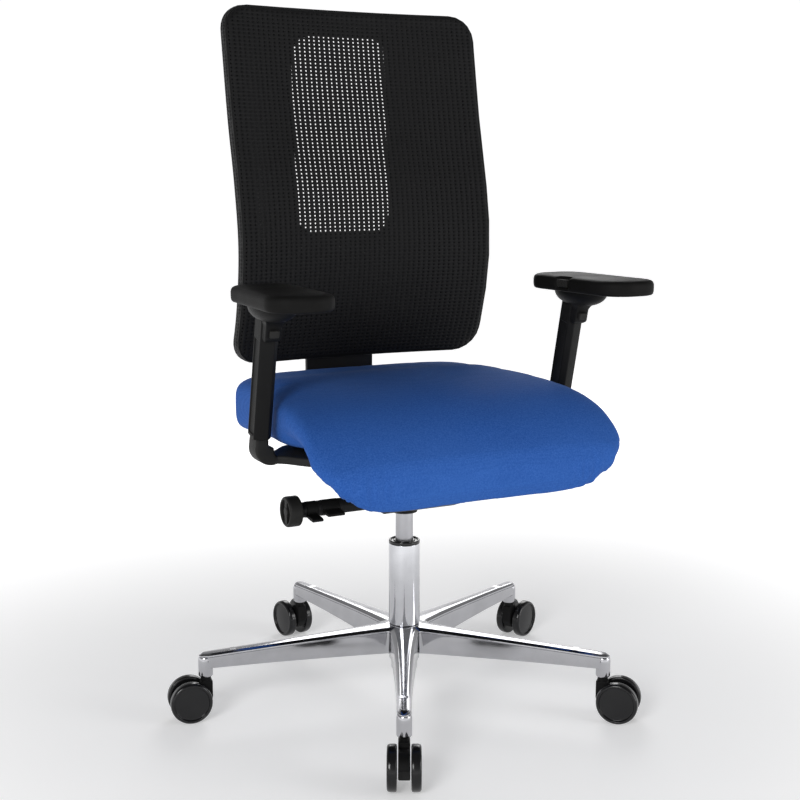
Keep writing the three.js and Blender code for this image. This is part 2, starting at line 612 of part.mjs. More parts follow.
// ---------------------------------------------------------------- armrests
// Built for the sitter's left (+X) and mirrored for the right.
const octagon = (halfX, halfY, bevel) => outline([
  [halfX, -halfY + bevel], [halfX, halfY - bevel], [halfX - bevel, halfY], [-halfX + bevel, halfY],
  [-halfX, halfY - bevel], [-halfX, -halfY + bevel], [-halfX + bevel, -halfY], [halfX - bevel, -halfY],
]);

// Turns a piece drawn upright at the origin so that it leans forward from the sleeve's lower end.
const leaning = (body, along = 0) => body.translate([0, 0, along]).rotate([ARM_LEAN, 0, 0])
  .translate([ARM_X, ARM_FOOT.y, ARM_FOOT.z]);

function armBracket() {
  const { under, top, inner } = ARM_BRACKET;
  const post = leaning(slabZ(octagon(8.5, 14.5, 3), -24, 150));
  // The elbow turns from the upright post to the foot under the seat.
  const bend = [];
  const steps = 6;
  const thin = (top - under) / 2, turn = 26, bevel = 4;
  for (let i = 0; i <= steps; i++) {
    const a = (i / steps) * (Math.PI / 2);
    const c = Math.cos(a), s = Math.sin(a);
    const half = 11 * c + thin * s;
    const deep = 17 + 2 * s;
    const x = ARM_X - turn + turn * c;
    const z = under + thin + turn - turn * s;
    const y = ARM_FOOT.y - (z - ARM_FOOT.z) * Math.tan(rad(ARM_LEAN));
    const section = [
      [1, -deep + bevel], [1, deep - bevel], [0.7, deep], [-0.7, deep],
      [-1, deep - bevel], [-1, -deep + bevel], [-0.7, -deep], [0.7, -deep],
    ];
    bend.push(section.map(([out, along]) => [x + c * half * out, y + along, z - s * half * out]));
  }
  const neck = leaning(slabZ(octagon(11, 17, 4), -18, -1));
  const foot = slabZ(outline([
    [ARM_X - 24, -56], [ARM_X - 24, -18], [200, 22], [inner, 22], [inner, -98], [196, -98],
  ]), under, top);
  return join(post, loft(bend), neck, foot);
}

function armSleeve() {
  const { halfX, halfY, bevel, length } = SLEEVE;
  const outer = slabZ(octagon(halfX, halfY, bevel), 0, length);
  const bore = slabZ(octagon(8.5 + RUNNING, 14.5 + RUNNING, 3), -1, length - 6);
  const panel = slabZ(roundedOutline(1.6, halfY - bevel - 2.5, 1.2, halfX, 0, 2), 6, length - 26);
  const innerPanel = slabZ(roundedOutline(1.6, halfY - bevel - 2.5, 1.2, -halfX, 0, 2), 6, length - 26);
  const { half, front, from } = BUTTON_HOUSING;
  const housing = block(-half, half, front, -halfY + 3, from, length);
  const buttonPocket = block(-7.6, 7.6, front - 1, -halfY - 0.2, 162.4, 174.6);
  return leaning(cut(join(outer, housing), bore, panel, innerPanel, buttonPocket));
}

function armSupport() {
  const { y, z, halfX, halfY, depth } = SUPPORT;
  const bowl = solid(new THREE.SphereGeometry(1, 24, 12).rotateX(Math.PI / 2).scale(halfX, halfY, depth)
    .translate(ARM_X, y, z));
  const upper = block(150, 370, -260, 40, z - 0.01, z + 80);
  const sleeveOutline = octagon(SLEEVE.halfX + GAP, SLEEVE.halfY + GAP, SLEEVE.bevel);
  const sleeveRoom = leaning(slabZ(sleeveOutline, 60, SLEEVE.length + GAP));
  const { half, front, from } = BUTTON_HOUSING;
  const housingRoom = leaning(block(-half - GAP, half + GAP, front - GAP, -12, from, SLEEVE.length + GAP));
  return cut(bowl, upper, sleeveRoom, housingRoom);
}

function buildArm(label, side) {
  const group = new THREE.Group();
  group.scale.x = side;
  chair.add(group);
  const name = (piece) => `${label}_${piece}`;
  add(name("arm_bracket"), armBracket(), BLACK_PLASTIC, group);
  add(name("arm_sleeve"), armSleeve(), BLACK_PLASTIC, group);
  add(name("arm_support"), armSupport(), BLACK_PLASTIC, group);
  const button = leaning(block(-7, 7, -33, -SLEEVE.halfY - 3.8, 163, 174));
  add(name("height_button"), button, GREY_PLASTIC, group);

  const { y, halfX, halfY, thick, toeOut } = PAD;
  const padZ = SUPPORT.z + GAP;
  const turn = (body) => body.rotate([0, 0, toeOut]).translate([ARM_X - 1, y, 0]);
  const plate = slabZ(roundedOutline(27, 62, 24, 0, 18, 4), padZ, padZ + 4);
  add(name("pad_plate"), turn(plate), BLACK_PLASTIC, group);
  const padUnder = padZ + 4 + GAP - 4;
  const padProfile = [ // height above the pad's underside, growth of its outline
    [0, -5], [2, -1.5], [7, 0], [17, 0], [thick - 3, -1.5], [thick - 0.5, -6], [thick, -11],
  ];
  const rings = padProfile.map(([h, grow]) =>
    roundedOutline(halfX + grow, halfY + grow, 38 + grow, 0, 0, 6).getPoints().slice(0, 28)
      .map((p) => [p.x, p.y, padUnder + h]));
  const plateRoom = slabZ(roundedOutline(27 + GAP, 62 + GAP, 24, 0, 18, 4), padUnder - 1, padZ + 4 + GAP);
  const buttonRoom = block(-halfX - 5, -halfX + 7.5, -2, 26, padUnder + 6.5, padUnder + 19.5);
  add(name("arm_pad"), turn(cut(loft(rings), plateRoom, buttonRoom)), SOFT_BLACK, group);
  const padButton = slabX(roundedOutline(13, 5.6, 3, 12, padUnder + 13, 2), -halfX - 0.8, -halfX + 4);
  add(name("pad_button"), turn(padButton), GREY_PLASTIC, group);
}

// ---------------------------------------------------------------- assembly
const base = buildBase();
buildCasters(base);
buildLift();
buildMechanism();
buildControls();
buildSeat();
buildBack();
buildArm("left", 1);
buildArm("right", -1);

export default chair;
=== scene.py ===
import math

import bmesh
import bpy
import numpy as np
from mathutils import Matrix, Vector
from mathutils.bvhtree import BVHTree


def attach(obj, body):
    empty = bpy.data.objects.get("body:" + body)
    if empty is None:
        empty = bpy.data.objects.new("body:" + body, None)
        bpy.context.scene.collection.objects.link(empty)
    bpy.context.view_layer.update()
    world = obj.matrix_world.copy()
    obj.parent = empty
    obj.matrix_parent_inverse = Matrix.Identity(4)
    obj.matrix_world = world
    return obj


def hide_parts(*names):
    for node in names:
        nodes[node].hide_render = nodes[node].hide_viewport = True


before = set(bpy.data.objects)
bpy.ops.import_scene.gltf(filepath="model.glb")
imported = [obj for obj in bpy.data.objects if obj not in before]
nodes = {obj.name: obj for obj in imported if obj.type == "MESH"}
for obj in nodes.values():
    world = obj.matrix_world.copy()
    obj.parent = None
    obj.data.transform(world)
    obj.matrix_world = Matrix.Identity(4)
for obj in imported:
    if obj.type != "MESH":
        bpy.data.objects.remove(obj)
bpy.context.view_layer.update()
MM = 0.001

# ---------------------------------------------------------------- mesh helpers, in millimetres


def rad(degrees):
    return math.radians(degrees)


def smoothstep(x, low, high):
    t = np.clip((np.asarray(x, float) - low) / (high - low), 0, 1)
    return t * t * (3 - 2 * t)


def spline_table(points, steps=24):
    """A Catmull-Rom curve through points, as an array of points."""
    pts = np.array(points, float)
    last = len(pts) - 1
    out = []
    for i in range(last):
        p0, p1, p2, p3 = pts[max(i - 1, 0)], pts[i], pts[i + 1], pts[min(i + 2, last)]
        v0, v1 = (p2 - p0) / 2, (p3 - p1) / 2
        for t in np.linspace(0, 1, steps, endpoint=False):
            cubic, square = 2 * p1 - 2 * p2 + v0 + v1, 3 * p2 - 3 * p1 - 2 * v0 - v1
            out.append(cubic * t**3 + square * t**2 + v0 * t + p1)
    return np.array([*out, pts[-1]])


def filleted(points, closed=True, steps=5):
    """A 2-D outline of (u, v, radius) corners with each corner rounded by a curve."""
    out = []
    count = len(points)
    for i, (u, v, r) in enumerate(points):
        here = np.array([u, v], float)
        if r <= 0 or (not closed and i in (0, count - 1)):
            out.append(tuple(here))
            continue
        before = np.array(points[i - 1][:2], float) - here
        after = np.array(points[(i + 1) % count][:2], float) - here
        a = here + before / np.linalg.norm(before) * min(r, 0.48 * np.linalg.norm(before))
        b = here + after / np.linalg.norm(after) * min(r, 0.48 * np.linalg.norm(after))
        for t in np.linspace(0, 1, steps + 1):
            out.append(tuple((1 - t) ** 2 * a + 2 * t * (1 - t) * here + t * t * b))
    return out


def rounded_rect(half_u, half_v, corner, cu=0.0, cv=0.0, steps=8):
    """A rounded rectangle, anticlockwise from its right side."""
    out = []
    for quarter in range(4):
        u = cu + (1 if quarter in (0, 3) else -1) * (half_u - corner)
        v = cv + (1 if quarter < 2 else -1) * (half_v - corner)
        for i in range(steps + 1):
            a = (quarter + i / steps) * math.pi / 2
            out.append((u + corner * math.cos(a), v + corner * math.sin(a)))
    return out


def resampled(points, count):
    """A closed outline as count points, evenly spaced."""
    pts = np.array([*points, points[0]], float)
    run = np.concatenate([[0], np.cumsum(np.linalg.norm(np.diff(pts, axis=0), axis=1))])
    at = np.linspace(0, run[-1], count, endpoint=False)
    return np.stack([np.interp(at, run, pts[:, k]) for k in range(pts.shape[1])], 1)


def turned(profile, sides, closed=False):
    """A profile of (radius, height, fillet) corners turned about Z; a closed one makes a ring."""
    verts, rows, faces = [], [], []
    for r, h in filleted(profile, closed):
        if r < 1e-6:
            rows.append([len(verts)] * sides)
            verts.append((0, 0, h))
        else:
            rows.append(list(range(len(verts), len(verts) + sides)))
            turns = [k / sides * 2 * math.pi for k in range(sides)]
            verts += [(r * math.cos(a), r * math.sin(a), h) for a in turns]
    pairs = list(zip(rows, rows[1:])) + ([(rows[-1], rows[0])] if closed else [])
    for a, b in pairs:
        for k in range(sides):
            n = (k + 1) % sides
            face = list(dict.fromkeys([a[k], a[n], b[n], b[k]]))
            if len(face) > 2:
                faces.append(face)
    return np.array(verts, float), faces


def lofted(rings, caps=True, closed=False):
    """A skin over rings of equally many points, with a cap at each end, or closed into a loop."""
    rings = [np.asarray(r, float) for r in rings]
    n, m = len(rings[0]), len(rings)
    verts = np.concatenate(rings)
    faces = []
    for i in range(m if closed else m - 1):
        j = (i + 1) % m
        faces += [(i * n + k, i * n + (k + 1) % n, j * n + (k + 1) % n, j * n + k) for k in range(n)]
    if caps and not closed:
        faces.append(tuple(range(n - 1, -1, -1)))
        faces.append(tuple(range((m - 1) * n, m * n)))
    return verts, faces


def prism(outline, low, high, axis="x"):
    """An outline in the other two axes, thickened along one axis."""
    order = {"x": (2, 0, 1), "z": (0, 1, 2)}[axis]
    return lofted([[[(u, v, w)[k] for k in order] for u, v in outline] for w in (low, high)])


def rectangle(half_u, half_v, fillet, steps=5):
    """A rectangle about the origin with rounded corners, anticlockwise from the lower right one."""
    corners = [(half_u, -half_v), (half_u, half_v), (-half_u, half_v), (-half_u, -half_v)]
    return filleted([(u, v, fillet) for u, v in corners], steps=steps)


def moved(shape, matrix):
    verts, faces = shape
    m = np.array(matrix, float)
    return verts @ m[:3, :3].T + m[:3, 3], faces


def mirrored(shape, side):
    verts, faces = shape
    return verts * np.array([side, 1, 1]), faces


def together(*shapes):
    verts, faces, start = [], [], 0
    for v, f in shapes:
        verts.append(v)
        faces += [tuple(i + start for i in face) for face in f]
        start += len(v)
    return np.concatenate(verts), faces


def turn(axis, degrees):
    return np.array(Matrix.Rotation(rad(degrees), 4, axis))


def shift(x, y, z):
    return np.array(Matrix.Translation((x, y, z)))


def mesh_from(name, shape, outward=True):
    """A mesh in metres from a shape, its normals turned outward."""
    verts, faces = shape
    data = bpy.data.meshes.new(name)
    data.from_pydata((np.asarray(verts) * MM).tolist(), [], [list(f) for f in faces])
    if outward:
        bm = bmesh.new()
        bm.from_mesh(data)
        bmesh.ops.recalc_face_normals(bm, faces=bm.faces)
        bm.to_mesh(data)
        bm.free()
    return data


def piece(name, shape, material, body, replaces=None, sharp=38, outward=True):
    """A mesh object from a shape, which rides on a body."""
    data = mesh_from(name, shape, outward)
    data.shade_smooth()
    if sharp:
        data.set_sharp_from_angle(angle=rad(sharp))
    ob = bpy.data.objects.new(name, data)
    bpy.context.scene.collection.objects.link(ob)
    data.materials.append(material)
    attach(ob, body)
    if replaces:
        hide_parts(replaces)
    return ob


def applied(ob):
    """Applies all of an object's modifiers."""
    bpy.context.view_layer.update()
    graph = bpy.context.evaluated_depsgraph_get()
    data = bpy.data.meshes.new_from_object(ob.evaluated_get(graph))
    ob.modifiers.clear()
    ob.data = data


def without(data, *names):
    """Drops attributes from a mesh, where it has them."""
    for name in names:
        if name in data.attributes:
            data.attributes.remove(data.attributes[name])


def bevel(ob, width, segments, angle=30):
    """Rounds the edges of an object, width in millimetres."""
    without(ob.data, "sharp_edge")
    m = ob.modifiers.new("edges", "BEVEL")
    m.width = width * MM
    m.segments = segments
    m.limit_method = "ANGLE"
    m.angle_limit = rad(angle)
    m.harden_normals = True
    m.miter_outer = "MITER_ARC"


def dressed(name, material, width=0.6, segments=2):
    """A CAD node kept as it is, with welded and rounded edges and a material."""
    ob = nodes[name]
    without(ob.data, "custom_normal", "sharp_face", "sharp_edge")
    ob.data.materials.clear()
    ob.data.materials.append(material)
    ob.data.shade_smooth()
    weld = ob.modifiers.new("weld", "WELD")
    weld.merge_threshold = 1e-5
    bevel(ob, width, segments)


# ---------------------------------------------------------------- materials


class Paint:
    """A Principled material being built, with the nodes that feed it, in the object's own coordinates."""

    def __init__(self, name, base, roughness, metallic=0.0, **sockets):
        self.mat = bpy.data.materials.new(name)
        self.mat.use_nodes = True
        self.tree = self.mat.node_tree
        self.shader = self.tree.nodes["Principled BSDF"]
        self.shader.inputs["Base Color"].default_value = (*base, 1)
        self.shader.inputs["Roughness"].default_value = roughness
        self.shader.inputs["Metallic"].default_value = metallic
        for socket, value in sockets.items():
            self.shader.inputs[socket.replace("_", " ")].default_value = value
        self.coords = self.node("TexCoord").outputs["Object"]
        self.normal = None

    def node(self, kind, **props):
        made = self.tree.nodes.new("ShaderNode" + kind)
        for key, value in props.items():
            setattr(made, key, value)
        return made

    def link(self, source, target):
        self.tree.links.new(source, target)

    def feed(self, node, socket, value):
        if isinstance(value, (int, float, tuple)):
            node.inputs[socket].default_value = value
        else:
            self.link(value, node.inputs[socket])

    def math(self, operation, a, b=0.0):
        made = self.node("Math", operation=operation)
        self.feed(made, 0, a)
        self.feed(made, 1, b)
        return made.outputs[0]

    def scaled(self, x, y, z):
        made = self.node("Mapping")
        self.link(self.coords, made.inputs["Vector"])
        made.inputs["Scale"].default_value = (x, y, z)
        return made.outputs[0]

    def noise(self, scale, detail, rough=0.5, vector=None):
        made = self.node("TexNoise")
        self.link(vector or self.coords, made.inputs["Vector"])
        made.inputs["Scale"].default_value = scale
        made.inputs["Detail"].default_value = detail
        made.inputs["Roughness"].default_value = rough
        return made.outputs["Fac"]

    def cells(self, scale):
        made = self.node("TexVoronoi")
        self.link(self.coords, made.inputs["Vector"])
        made.inputs["Scale"].default_value = scale
        return made.outputs["Distance"]

    def wave(self, axis, pitch):
        """A sine along one axis of the object, from 0 to 1, one crest each pitch metres."""
        split = self.node("SeparateXYZ")
        self.link(self.coords, split.inputs[0])
        turned_by = self.math("MULTIPLY", split.outputs[axis], 2 * math.pi / pitch)
        return self.math("MULTIPLY", self.math("ADD", self.math("SINE", turned_by), 1.0), 0.5)

    def span(self, value, low, high, to_low, to_high, **props):
        """A value between low and high carried to the range between to_low and to_high."""
        made = self.node("MapRange", **props)
        self.feed(made, "Value", value)
        for socket, number in zip(("From Min", "From Max", "To Min", "To Max"), (low, high, to_low, to_high)):
            made.inputs[socket].default_value = number
        return made.outputs[0]

    def blend(self, factor, a, b):
        made = self.node("Mix", data_type="RGBA")
        self.feed(made, "Factor", factor)
        for socket, value in ((6, a), (7, b)):
            self.feed(made, socket, (*value, 1) if isinstance(value, tuple) else value)
        return made.outputs[2]

    def bump(self, height, strength, distance):
        made = self.node("Bump")
        made.inputs["Strength"].default_value = strength
        made.inputs["Distance"].default_value = distance
        self.link(height, made.inputs["Height"])
        if self.normal:
            self.link(self.normal, made.inputs["Normal"])
        self.normal = made.outputs[0]
        self.link(self.normal, self.shader.inputs["Normal"])

    def base(self, value):
        self.link(value, self.shader.inputs["Base Color"])

    def rough(self, value):
        self.link(value, self.shader.inputs["Roughness"])


def moulded(name, base, low, high, grain, **sockets):
    """Moulded or painted surface: a fine grain, a slow variation of gloss, faint handling marks."""
    p = Paint(name, base, (low + high) / 2, **sockets)
    slow = p.noise(14, 3)
    fine = p.cells(1500)
    marks = p.noise(60, 6, 0.7, p.scaled(1, 1, 6))
    p.rough(p.math("ADD", p.span(slow, 0.3, 0.7, low, high), p.span(marks, 0.62, 0.8, 0, 0.08)))
    light = tuple(min(1, c * 1.35 + 0.0015) for c in base)
    p.base(p.blend(p.span(slow, 0.3, 0.7, 0, 1), base, light))
    p.bump(fine, grain * 0.35, 0.0004)
    return p.mat


def metal(name, base, low, high, lines=None, swirl=0.0, **sockets):
    """Bare metal: gloss that varies, and fine lines along one direction where it is brushed or drawn."""
    p = Paint(name, base, (low + high) / 2, 1.0, **sockets)
    slow = p.noise(9, 3)
    p.rough(p.span(slow, 0.3, 0.7, low, high))
    dark = tuple(c * 0.9 for c in base)
    p.base(p.blend(p.span(p.noise(30, 4), 0.35, 0.7, 0, 1), base, dark))
    if lines:
        p.bump(p.noise(1, 3, 0.6, p.scaled(*lines)), 0.08, 0.0002)
    if swirl:
        p.bump(p.noise(22, 3, 0.5), swirl, 0.004)
    return p.mat


def spacer_mesh():
    """Charcoal 3-D knit: each thread loop picked out by bump and by painted shade in the low parts between
    loops, a soft sheen.
    """
    p = Paint("spacer_mesh", (0.01, 0.01, 0.011), 0.6, Specular_IOR_Level=0.17,
              Sheen_Weight=0.03, Sheen_Roughness=0.4, Sheen_Tint=(0.75, 0.76, 0.8, 1))
    loops = p.math("MULTIPLY", p.wave("X", 0.00116), p.wave("Z", 0.0015))
    fuzz = p.noise(1600, 3, 0.6)
    p.bump(loops, 0.55, 0.0005)
    p.bump(fuzz, 0.3, 0.0003)
    slow = p.noise(7, 2)
    # Painted shade: the colour is darker where the loops run low between the threads, mixed with a slow
    # random tone.
    shade_and_tone = p.math("ADD", p.math("MULTIPLY", loops, 0.55), p.math("MULTIPLY", slow, 0.45))
    p.base(p.blend(shade_and_tone, (0.0018, 0.0018, 0.002), (0.0065, 0.0065, 0.0072)))
    p.rough(p.span(fuzz, 0.3, 0.7, 0.5, 0.68))
    return p.mat


def blue_knit():
    """Blue stretch jersey: fine wales and courses, a heathered speckle, painted shade between the loops, a
    pale sheen at grazing angles.
    """
    p = Paint("blue_knit", (0.015, 0.085, 0.36), 0.82, Specular_IOR_Level=0.08,
              Sheen_Weight=0.05, Sheen_Roughness=0.35, Sheen_Tint=(0.5, 0.68, 1.0, 1))
    wales = p.wave("X", 0.0013)
    courses = p.wave("Y", 0.0015)
    rows = p.wave("Z", 0.0015)
    loops = p.math("MULTIPLY", wales, p.math("MULTIPLY", p.math("ADD", courses, rows), 0.5))
    speckle = p.noise(420, 3, 0.85)
    patch = p.noise(5, 3, 0.55)
    p.bump(loops, 0.35, 0.0004)
    p.bump(speckle, 0.25, 0.0004)
    base = p.blend(p.span(speckle, 0.35, 0.65, 0, 1), (0.013, 0.068, 0.285), (0.036, 0.12, 0.41))
    worn = p.blend(p.span(patch, 0.35, 0.7, 0, 0.35), base, (0.038, 0.122, 0.40))
    # Painted shade: the jersey is darkened where its loops run low, between the threads.
    p.base(p.blend(p.span(loops, 0.0, 0.5, 0.25, 0.0), worn, (0.008, 0.04, 0.19)))
    p.rough(p.span(patch, 0.3, 0.7, 0.74, 0.88))
    return p.mat


ALUMINIUM = metal("polished_aluminium", (0.5, 0.5, 0.52), 0.08, 0.17, swirl=0.012)
CHROME = metal("column_chrome", (0.6, 0.605, 0.63), 0.05, 0.1, lines=(40, 40, 900))
SATIN = metal("satin_steel", (0.42, 0.42, 0.44), 0.28, 0.38, lines=(60, 60, 2200), Anisotropic=0.35)
SPRING = metal("spring_steel", (0.3, 0.3, 0.32), 0.3, 0.42)
DARK = moulded("painted_steel", (0.005, 0.005, 0.0055), 0.4, 0.52, 0.5, Specular_IOR_Level=0.16)
GLOSS = moulded("gloss_black", (0.003, 0.003, 0.0035), 0.1, 0.17, 0.05, Specular_IOR_Level=0.5)
CASTER = moulded("caster_black", (0.004, 0.004, 0.0045), 0.14, 0.24, 0.08, Specular_IOR_Level=0.38)
PLASTIC = moulded("black_plastic", (0.0045, 0.0045, 0.0046), 0.42, 0.54, 0.8, Specular_IOR_Level=0.09)
GREY = moulded("grey_plastic", (0.012, 0.0118, 0.0112), 0.42, 0.55, 0.9, Specular_IOR_Level=0.12)
SKIN = moulded("pad_skin", (0.0048, 0.0047, 0.0046), 0.5, 0.6, 0.5, Specular_IOR_Level=0.05)
MESH = spacer_mesh()
BLUE = blue_knit()


# ---------------------------------------------------------------- base

BASE_TURN = -27
LEGS = 5
STEM_RADIUS = 325
# Distance from the column axis, then half widths: underside, bevelled edge, flat top.
LEG_HALF = np.array([
    (0, 26.6, 24.4, 15.5), (31, 24.6, 22.6, 13.6), (80, 20.4, 17.6, 10.6), (118, 18, 15.2, 9.1),
    (160, 15.4, 13.3, 7.8), (220, 12.6, 11.4, 6.6), (270, 11.6, 10.2, 6.4), (328, 11.2, 9.8, 6.5),
], float)
LEG_END = 328
NOSE_START = 316
TOP_AT_HUB, TOP_AT_END, UNDER_AT_HUB, UNDER_AT_END = 120.5, 105, 78, 82


def smooth_width(column, spread=14.0):
    """A width along the leg as a function, without kinks at the stations."""
    u = np.arange(-60, 400, 1.0)
    raw = np.interp(u, LEG_HALF[:, 0], LEG_HALF[:, column])
    raw += np.where(u < 0, u * (LEG_HALF[1, column] - LEG_HALF[0, column]) / 31, 0)
    kernel = np.exp(-0.5 * (np.arange(-42, 43) / spread) ** 2)
    soft = np.convolve(np.pad(raw, 42, mode="edge"), kernel / kernel.sum(), mode="valid")
    return lambda at: np.interp(at, u, soft)


UNDER_W, EDGE_W, FLAT_W = (smooth_width(c) for c in (1, 2, 3))


def leg_top(u):
    return TOP_AT_HUB + (TOP_AT_END - TOP_AT_HUB) * np.clip(u, 0, LEG_END + 17) / LEG_END


def leg_under(u):
    return UNDER_AT_HUB + (UNDER_AT_END - UNDER_AT_HUB) * np.clip(u, 0, LEG_END + 17) / LEG_END


# Each level of the star's section: width function, growth, reference line, height above it, nose reach.
LEVELS = [
    (FLAT_W, -0.5, "top", 0.0, 328.5), (FLAT_W, 0.4, "top", -0.18, 329.5),
    (EDGE_W, -0.6, "top", -2.5, 334.0), (EDGE_W, 0.05, "top", -3.0, 335.0), (EDGE_W, 0.2, "top", -4.2, 335.3),
    (EDGE_W, -0.5, "top", -4.6, 334.4), (EDGE_W, -0.5, "top", -5.5, 334.4),
    (EDGE_W, 0.35, "top", -6.0, 335.4), (UNDER_W, -0.3, "under", 3.2, 336.0),
    (UNDER_W, -0.9, "under", 0.9, 335.4), (UNDER_W, -2.4, "under", 0.0, 334.0),
    (UNDER_W, -4.2, "under", 0.0, 332.0),
]
SIDE_STATIONS = 22
VEE_STEPS = 7
HUB_BORE = 22
NOSE_STEPS = 16


def vee_reach(width):
    """How far along the leg its side line meets the neighbouring leg's; never under the column."""
    u = np.arange(15, 60, 0.05)
    return max(float(u[np.argmax(u * math.tan(math.pi / 5) > width(u))]), 22.0)


def star_outline(level):
    """One level of the star: each leg's right side, nose and left side, then the fillet to the next leg."""
    base_width, grow, reference, lift, reach = level
    width = lambda u: base_width(u) + grow
    apex_u = vee_reach(width)
    start = apex_u + 7.0
    u = start + (NOSE_START - start) * np.linspace(0, 1, SIDE_STATIONS) ** 1.15
    w = width(u)
    angles = np.linspace(math.pi / 2, -math.pi / 2, NOSE_STEPS + 1)[1:-1]
    squarer = 0.62 if reach < 331 and reference == "top" else 0.9
    nose_u = NOSE_START + (reach - NOSE_START) * np.abs(np.cos(angles)) ** squarer
    nose_v = w[-1] * np.sign(np.sin(angles)) * np.abs(np.sin(angles)) ** squarer
    along = np.concatenate([u, nose_u, u[::-1]])
    across = np.concatenate([w, nose_v, -w[::-1]])
    # The fillet from this leg's left side to the next leg's right side, about the line between them.
    t = np.linspace(0, 1, VEE_STEPS + 2)[1:-1]
    bisector = math.pi / 5
    apex = np.array([apex_u, -apex_u * math.tan(bisector)])
    first = np.array([start, -w[0]])
    c, s = math.cos(2 * bisector), math.sin(2 * bisector)
    mirror = np.array([[c, -s], [-s, -c]])
    second = mirror @ first
    vee = ((1 - t) ** 2)[:, None] * first + (2 * t * (1 - t))[:, None] * apex + (t**2)[:, None] * second
    vee_u = np.where(t < 0.5, vee[:, 0], (vee @ mirror.T)[:, 0])
    height = leg_top if reference == "top" else leg_under
    flat = np.concatenate([np.stack([along, across], 1), vee])
    z = height(np.concatenate([along, vee_u])) + lift
    points = []
    for k in range(LEGS):
        a = -k * 2 * math.pi / LEGS
        x = flat[:, 0] * math.cos(a) - flat[:, 1] * math.sin(a)
        y = flat[:, 0] * math.sin(a) + flat[:, 1] * math.cos(a)
        points.append(np.stack([x, y, z], 1))
    return np.concatenate(points)


def star_shape():
    """The five legs in one skin: flat tops that meet round the column, and a channel under each leg."""
    rings = [star_outline(level) for level in LEVELS]
    per_leg = len(rings[0]) // LEGS
    side = SIDE_STATIONS + (NOSE_STEPS - 1) // 2
    far_side = 2 * SIDE_STATIONS + NOSE_STEPS - 2
    verts, faces = lofted(rings, caps=False)
    verts = list(map(tuple, verts))

    def cap(start, hub_z, channel):
        """Closes the top or the underside, from each leg's two sides inward to the hub."""
        pairs, rim = [], []
        for first in range(start, start + LEGS * per_leg, per_leg):
            last = first + far_side
            strip = [(first + i, last - i) for i in range(side)]
            if channel:
                pairs += channelled(strip)
            else:
                pairs += [(a[0], b[0], b[1], a[1]) for a, b in zip(strip, strip[1:])]
            pairs.append((strip[-1][0], first + side, strip[-1][1]))
            rim += [first, *range(last, first + per_leg)]
        inner = len(verts)
        for index in rim:
            x, y, _ = verts[index]
            r = math.hypot(x, y)
            verts.append((x / r * HUB_BORE, y / r * HUB_BORE, hub_z))
        n = len(rim)
        pairs += [(rim[i], rim[(i + 1) % n], inner + (i + 1) % n, inner + i) for i in range(n)]
        return pairs

    def channelled(strip):
        """The same strip with a channel sunk between its sides."""
        made, ceiling = [], []
        for a, b in strip:
            pa, pb = np.array(verts[a]), np.array(verts[b])
            out = float(np.hypot(*((pa + pb)[:2] / 2)))
            deep = 26 * float(smoothstep(out, 58, 62) * (1 - smoothstep(out, 288, 298)))
            inset = (pb - pa) / max(np.linalg.norm(pb - pa), 1e-6) * 1.2
            ceiling.append((len(verts), len(verts) + 1))
            verts.append(tuple(pa + inset + np.array([0, 0, deep])))
            verts.append(tuple(pb - inset + np.array([0, 0, deep])))
        for i in range(len(strip) - 1):
            (a0, b0), (a1, b1) = strip[i], strip[i + 1]
            (c0, d0), (c1, d1) = ceiling[i], ceiling[i + 1]
            made += [(a0, a1, c1, c0), (c0, c1, d1, d0), (d0, d1, b1, b0)]
        a, b = strip[-1]
        c, d = ceiling[-1]
        made.append((a, c, d, b))
        a, b = strip[0]
        c, d = ceiling[0]
        made.append((a, b, d, c))
        return made

    faces += cap(0, TOP_AT_HUB, False)
    faces += cap((len(rings) - 1) * len(rings[0]), UNDER_AT_HUB + 0.5, True)
    return np.array(verts, float), faces


def leg_frame(k):
    """Leg k's own frame: the column on Z, the leg along -Y."""
    return turn("Z", BASE_TURN + k * 360 / LEGS)


nose = turned([
    (0, 101.4, 0), (9.6, 101.0, 3.0), (11.3, 95, 4), (11.3, 68, 3.2), (6.3, 68, 0.5), (6.3, 76, 0),
    (0, 76, 0),
], 40)
STEMS = [leg_frame(k) @ shift(0, -STEM_RADIUS, 0) for k in range(LEGS)]
hub = turned([(21.8, 84, 0), (24.6, 84, 0), (24.6, 62, 1.2), (23.4, 60, 0.6), (21.8, 60, 0.3)], 72)
star = moved(star_shape(), turn("Z", BASE_TURN - 90))
piece("base_star_cast", together(star, hub, *[moved(nose, at) for at in STEMS]), ALUMINIUM, "base",
      "base_star", sharp=28)

piece("column_tube_turned", turned([
    (21.6, 45, 0.3), (21.6, 120.8, 0), (24.4, 120.8, 0), (25, 121.8, 0.6), (25, 254.5, 0.7), (23, 254.5, 0.4),
    (23, 130, 0), (20, 45, 0.2),
], 96, closed=True), CHROME, "base", "column_tube", sharp=50)
piece("guide_bush_moulded", turned([
    (14.5, 200, 0), (22.7, 200, 0.3), (22.7, 254.7, 0), (25, 254.7, 0.3), (25.1, 259.4, 1.4),
    (22.6, 260.0, 0.8),
    (20.4, 257.6, 0.8), (17.4, 257.6, 0.6), (16.6, 259.6, 0.8), (14.5, 259.6, 0.5),
], 96, closed=True), GLOSS, "base", "guide_bush", sharp=50)
dressed("thrust_bearing", SATIN, 0.4)

# ---------------------------------------------------------------- casters
WHEEL_RADIUS, TRAIL = 32.5, 25.5

